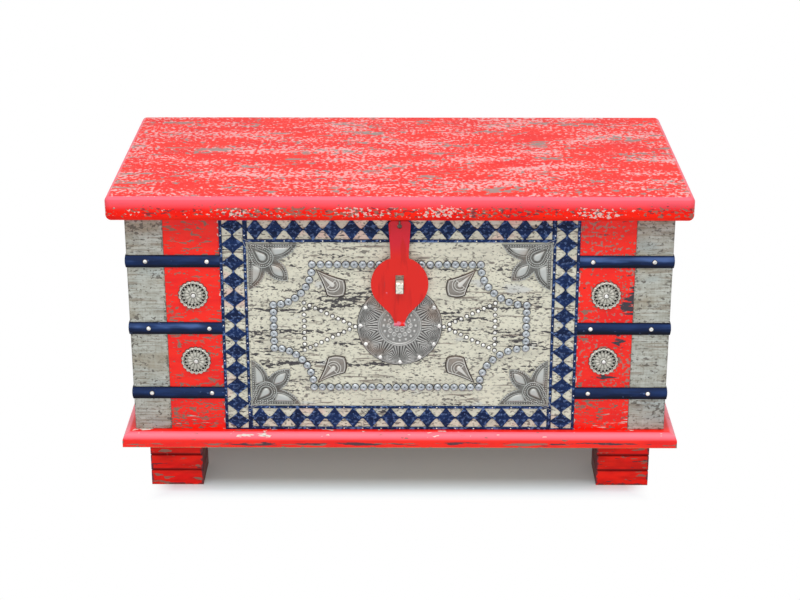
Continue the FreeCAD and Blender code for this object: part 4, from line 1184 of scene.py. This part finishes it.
def cornerShapes(leg):
    # the plate, the forms raised on it with their foot heights, and the places of its beads
    c = cornerPlate
    sheet, line, pitch = c["sheet"], c["line"], c["beadPitch"]

    def at(share):
        return Vector(share) * leg

    outline = bowed([at(spot) for spot in c["outline"]], c["bows"], c["bowSteps"])
    heart = at(c["heart"])
    plate = pressed(outline, [(share, sheet * part) for share, part in c["plateLayers"]], heart)
    shapes = [(ridge(scaled(outline, c["lineShare"], heart), line, sheet), sheet)]
    beads = []
    start, end = c["rowStart"], c["rowEnd"]
    for share in c["beadRows"]:
        beads += spacedAlong([at((start[0], share)), at((end - share, share))], pitch)
        beads += spacedAlong([at((share, start[1])), at((share, end - share))], pitch)
    for i in c["bowedSides"]:
        corners = [at(c["outline"][i]), at(c["outline"][i + 1])]
        side = bowed(corners, [c["bows"][i]], c["bowSteps"]) + corners[1:]
        beads += spacedAlong(scaled(side, c["sideRow"], heart)[1:-1], pitch)
    for petal, bows in zip(c["petals"], c["petalBows"]):
        edge = bowed([at(spot) for spot in petal], bows, c["petalSteps"])
        middle = sum(edge, Vector((0, 0))) / len(edge)
        shapes.append(raised(edge, sheet, c["petalRise"], c["petalLayers"], middle))
        shapes.append((ridge(scaled(edge, c["petalLineShare"], middle), line * c["petalLine"], sheet), sheet))
    middle = at(c["eyeMiddle"])
    eye = dropOutline(at(c["eyeTip"]), middle, c["eyeRadius"] * leg)
    shapes.append(raised(eye, sheet, c["eyeRise"], c["eyeLayers"], middle))
    for share in c["plainRings"]:
        shapes.append((ridge(scaled(eye, share, middle), line * c["ringLine"], sheet + c["ringLift"]), sheet))
    beads += spacedAlong(scaled(eye, c["beadRing"], middle), pitch * c["ringPitch"], True)
    return plate, shapes, beads


def cornersOf(kind):
    # the four nodes of a kind, with the way out to each and the place of the outer corner of its box
    for across, side in sideNames.items():
        for up, level in levelNames.items():
            low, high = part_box(f"{level}_{side}_{kind}")
            corner = (low.x if across < 0 else high.x, low.z if up < 0 else high.z)
            yield f"{level}_{side}", across, up, corner, high.x - low.x


def cornerPlates():
    c = cornerPlate
    shine = silverMetal("cornerSilver", cornerLook)
    size = c["bead"]
    beadShape = turned([(radius * size, height * size) for radius, height in c["beadForm"]], c["beadSteps"])
    for name, across, up, corner, leg in cornersOf("corner_plate"):
        plate, shapes, beads = cornerShapes(leg)
        place = onFront(*corner) @ Matrix.Diagonal((-across, -up, 1, 1))
        bm = bmesh.new()
        # the plate's face is given one level of grime and painted shade, darker than the raised forms' tops
        setDown(bm, plate, place, 0.0, c["plateGrimeAndShade"])
        for shape, foot in shapes:
            setDown(bm, shape, place, foot)
        for spot in beads:
            seat = Matrix.Translation((spot.x, spot.y, c["sheet"] * c["beadSeat"]))
            setDown(bm, beadShape, place @ seat, 0.0)
        replaced = [f"{name}_corner_plate"]
        finished(bm, f"corner_plate.{name}", "chest", shine, replaced, c["smooth"])


cornerPlates()
print("corner plates finished")


# Leaves: a kite with a drop raised in it, its point towards the frame's corner

# heights and plate layers are in thicknesses of the sheet
leaf = {"lengthShare": 1.60, "widthShare": 0.60, "outward": 0.006, "sheet": 0.0008, "smooth": 50.0,
        "plateGrimeAndShade": 0.66, "rimShadow": 1.0, "bows": (-0.03, 0.10, 0.10, -0.03), "bowSteps": 8, "heart": 0.6,
        "plateLayers": ((1, 0.7), (0.97, 1), (0.92, 1.5)), "fieldHeight": 1.5, "line": 0.0009,
        "lineShare": 0.86, "lineHeight": 1.4, "rimShare": 0.99, "rimLine": 0.9, "rimHeight": 0.6,
        "dropTip": 0.12, "dropMiddle": 0.58, "dropRadius": 0.13, "dropRise": 0.0026,
        "dropLayers": ((0.8, 0.85), (0.45, 1), (0.2, 1)), "rings": (1.65, 2.45), "ringStart": 0.06,
        "ringHeight": 1.6}
leafLook = dict(silverLook, bright=rgb(208, 206, 200), mid=rgb(151, 146, 139), dark=rgb(54, 43, 38))


def leafShapes(length, width):
    # the plate, its rim dark with painted shadow, and the forms raised on it with their foot heights
    sheet, line = leaf["sheet"], leaf["line"]
    half, shoulder = width / 2, length - width / 2
    corners = [(0, 0), (shoulder, -half), (length, 0), (shoulder, half)]
    outline = bowed(corners, leaf["bows"], leaf["bowSteps"])
    heart = Vector((length * leaf["heart"], 0))
    plate = pressed(outline, [(share, sheet * part) for share, part in leaf["plateLayers"]], heart)
    rim = ridge(scaled(outline, leaf["rimShare"], heart), line * leaf["rimLine"], sheet * leaf["rimHeight"])
    shapes = [(ridge(scaled(outline, leaf["lineShare"], heart), line, sheet * leaf["lineHeight"]), sheet)]
    middle = Vector((length * leaf["dropMiddle"], 0))
    drop = dropOutline((length * leaf["dropTip"], 0), middle, width * leaf["dropRadius"])
    field = sheet * leaf["fieldHeight"]
    shapes.append(raised(drop, field, leaf["dropRise"], leaf["dropLayers"], middle))
    for share in leaf["rings"]:
        loop = [spot for spot in scaled(drop, share, middle) if spot.x > length * leaf["ringStart"]]
        shapes.append((ridge(loop, line, sheet * leaf["ringHeight"]), field))
    return plate, rim, shapes


def leaves():
    shine = silverMetal("leafSilver", leafLook)
    for name, across, up, corner, reach in cornersOf("leaf"):
        length = reach * leaf["lengthShare"]
        plate, rim, shapes = leafShapes(length, length * leaf["widthShare"])
        tip = onFront(corner[0], corner[1] + up * leaf["outward"])
        place = tip @ Matrix.Diagonal((-across, -up, 1, 1)) @ Matrix.Rotation(math.pi / 4, 4, "Z")
        bm = bmesh.new()
        # the plate's face is given one level of grime and painted shade, darker than the raised forms' tops
        setDown(bm, plate, place, 0.0, leaf["plateGrimeAndShade"])
        setDown(bm, rim, place, 0.0, leaf["rimShadow"])
        for shape, foot in shapes:
            setDown(bm, shape, place, foot)
        finished(bm, f"leaf.{name}", "chest", shine, [f"{name}_leaf"], leaf["smooth"])


leaves()
print("leaves finished")


# Round heads: the bead frame, the arrows of pins and the nails

# each profile row ends with its level of dirt and painted shade: a dark ring at the foot, and on the beads a
# dark dimple
bead = {"steps": 14, "profile": [(0, 0, 1.0), (0.0058, 0, 1.0), (0.0057, 0.0006, 1.0), (0.0051, 0.0015, 0.6),
                                 (0.0043, 0.0025, 0.05), (0.0026, 0.0031, 0.0), (0.0017, 0.0027, 0.2),
                                 (0.0009, 0.0021, 0.6), (0, 0.0020, 0.7)]}
pin = {"steps": 8, "profile": [(0, 0, 1.0), (0.0036, 0, 1.0), (0.0034, 0.0004, 1.0), (0.0026, 0.0007, 0.8),
                               (0.0023, 0.0014, 0.0), (0.0012, 0.0020, 0.0), (0, 0.0022, 0.0)]}
nail = {"steps": 12, "profile": [(0, 0, 1.0), (0.0037, 0, 1.0), (0.0036, 0.0004, 1.0), (0.0030, 0.0007, 0.7),
                                 (0.0024, 0.0015, 0.0), (0.0012, 0.0020, 0.0), (0, 0.0021, 0.0)]}
beadLook = dict(nailLook, bright=rgb(184, 190, 194), mid=rgb(137, 143, 149), dirtAndShade=rgb(36, 36, 42))


def headPlaces(nodeName):
    # where each head sits and which way it looks
    places = []
    for low, high in islandBoxes(nodeName):
        middle = (low + high) / 2
        if abs(middle.x) > bodyHalfLength:
            way = 1 if middle.x > 0 else -1
            base = low.x if way > 0 else high.x
            turn = Matrix.Rotation(way * quarterTurn, 4, "Y")
            places.append(Matrix.Translation((base, middle.y, middle.z)) @ turn)
        else:
            places.append(onFront(middle.x, middle.z, 0.0, frontFace - high.y))
    return places


def roundHeads():
    beadMetal = nailMetal("beadMetal", beadLook)
    bright = nailMetal("pinMetal", nailLook)
    for name, head, node, metal in (("bead_frame", bead, "bead_tacks", beadMetal),
                                    ("pin_arrows", pin, "arrow_pins", bright),
                                    ("nail_heads", nail, "round_head_nails", bright)):
        heads(name, head["profile"], head["steps"], headPlaces(node), metal, [node])


roundHeads()
print("round heads finished")


# Hasp, staple and hinges

def fittings():
    wearFinish("hasp", haspPaint("haspPaint"))
    wearFinish("hasp_staple", plainMetal("paleMetal"))
    steel = plainMetal("hingeSteel")
    for name in ("hasp_eye", "hinge_lid_screws", "hinge_back_screws", "foot_screws"):
        wearFinish(name, steel)
    for side in ("left", "right"):
        for part in ("lid_leaf", "back_leaf", "pin"):
            wearFinish(f"hinge_{side}_{part}", steel)


fittings()
print("fittings finished")


# Floor, light and camera

stageLook = {"floorSize": 30.0, "floor": (0.80, 0.88, 0.93, 1), "floorRoughness": 0.9, "floorSpecular": 0.0,
             "white": (1, 1, 1, 1), "ambient": 0.34, "shadowReach": (-0.020, 0.026), "inset": 0.022,
             "leastWhite": 0.095}
lamps = {"overhead": {"place": (0.0, -1.0, 2.5), "aim": (0, 0, 0.3), "size": (3.2, 1.4), "power": 59.0},
         "front": {"place": (0.0, -4.2, 1.5), "aim": (0, 0, 0.25), "size": (4.0, 2.6), "power": 40.0}}
cameraSetup = {"place": (0.01126, -2.57423, 1.23664), "tilt": 68.502, "swing": 0.257, "focal": 83.31,
               "sensor": 36.0}


def seenWhite(paint):
    # 1 for the camera, and for what metal mirrors of the white room
    rays = paint.add("LightPath", out="Is Camera Ray")
    return rays + rays.other("Is Glossy Ray") + rays.other("Is Transmission Ray")


def floorWhite():
    # shows the chest's shadow and is plain white further off, but gives no light of its own
    material, paint, shader = startFinish("floorWhite")
    feed(shader, {"Base Color": stageLook["floor"], "Roughness": stageLook["floorRoughness"],
                  "Specular IOR Level": stageLook["floorSpecular"]})
    x, y, z = split(paint, "Object")
    away = (abs(x) - footHigh.x + stageLook["inset"]).most(abs(y) + plinthLow.y)
    factor = away.fade(*stageLook["shadowReach"]).most(stageLook["leastWhite"]) * seenWhite(paint)
    white = paint.add("Emission", None, {"Color": stageLook["white"]})
    whole = paint.add("MixShader", None, {0: factor, 1: Paint(paint.tree, shader.outputs[0]), 2: white})
    paint.tree.links.new(whole.socket, paint.tree.nodes["Material Output"].inputs["Surface"])
    return material


def floorAndWorld():
    bm = bmesh.new()
    bmesh.ops.create_grid(bm, x_segments=1, y_segments=1, size=stageLook["floorSize"] / 2)
    mesh = bpy.data.meshes.new("floor")
    bm.to_mesh(mesh)
    bm.free()
    mesh.materials.append(floorWhite())
    floor = bpy.data.objects.new("floor", mesh)
    bpy.context.scene.collection.objects.link(floor)
    world = bpy.data.worlds.new("studio")
    bpy.context.scene.world = world
    world.use_nodes = True
    strength = seenWhite(Paint(world.node_tree)) * (1 - stageLook["ambient"]) + stageLook["ambient"]
    feed(world.node_tree.nodes["Background"], {"Color": stageLook["white"], "Strength": strength})


def studioLamps():
    for name, lamp in lamps.items():
        light = bpy.data.lights.new(name, "AREA")
        light.shape = "RECTANGLE"
        light.size, light.size_y = lamp["size"]
        light.energy = lamp["power"]
        holder = bpy.data.objects.new(name, light)
        holder.location = lamp["place"]
        aim = Vector(lamp["aim"]) - Vector(lamp["place"])
        holder.rotation_euler = aim.to_track_quat("-Z", "Y").to_euler()
        bpy.context.scene.collection.objects.link(holder)


def photoCamera():
    lens = bpy.data.cameras.new("camera")
    lens.lens = cameraSetup["focal"]
    lens.sensor_width = cameraSetup["sensor"]
    camera = bpy.data.objects.new("camera", lens)
    camera.location = cameraSetup["place"]
    camera.rotation_euler = (math.radians(cameraSetup["tilt"]), 0, math.radians(cameraSetup["swing"]))
    bpy.context.scene.collection.objects.link(camera)
    bpy.context.scene.camera = camera
    bpy.context.scene.view_settings.view_transform = "Standard"


floorAndWorld()
studioLamps()
photoCamera()
print("stage and light ready")

bpy.context.view_layer.update()
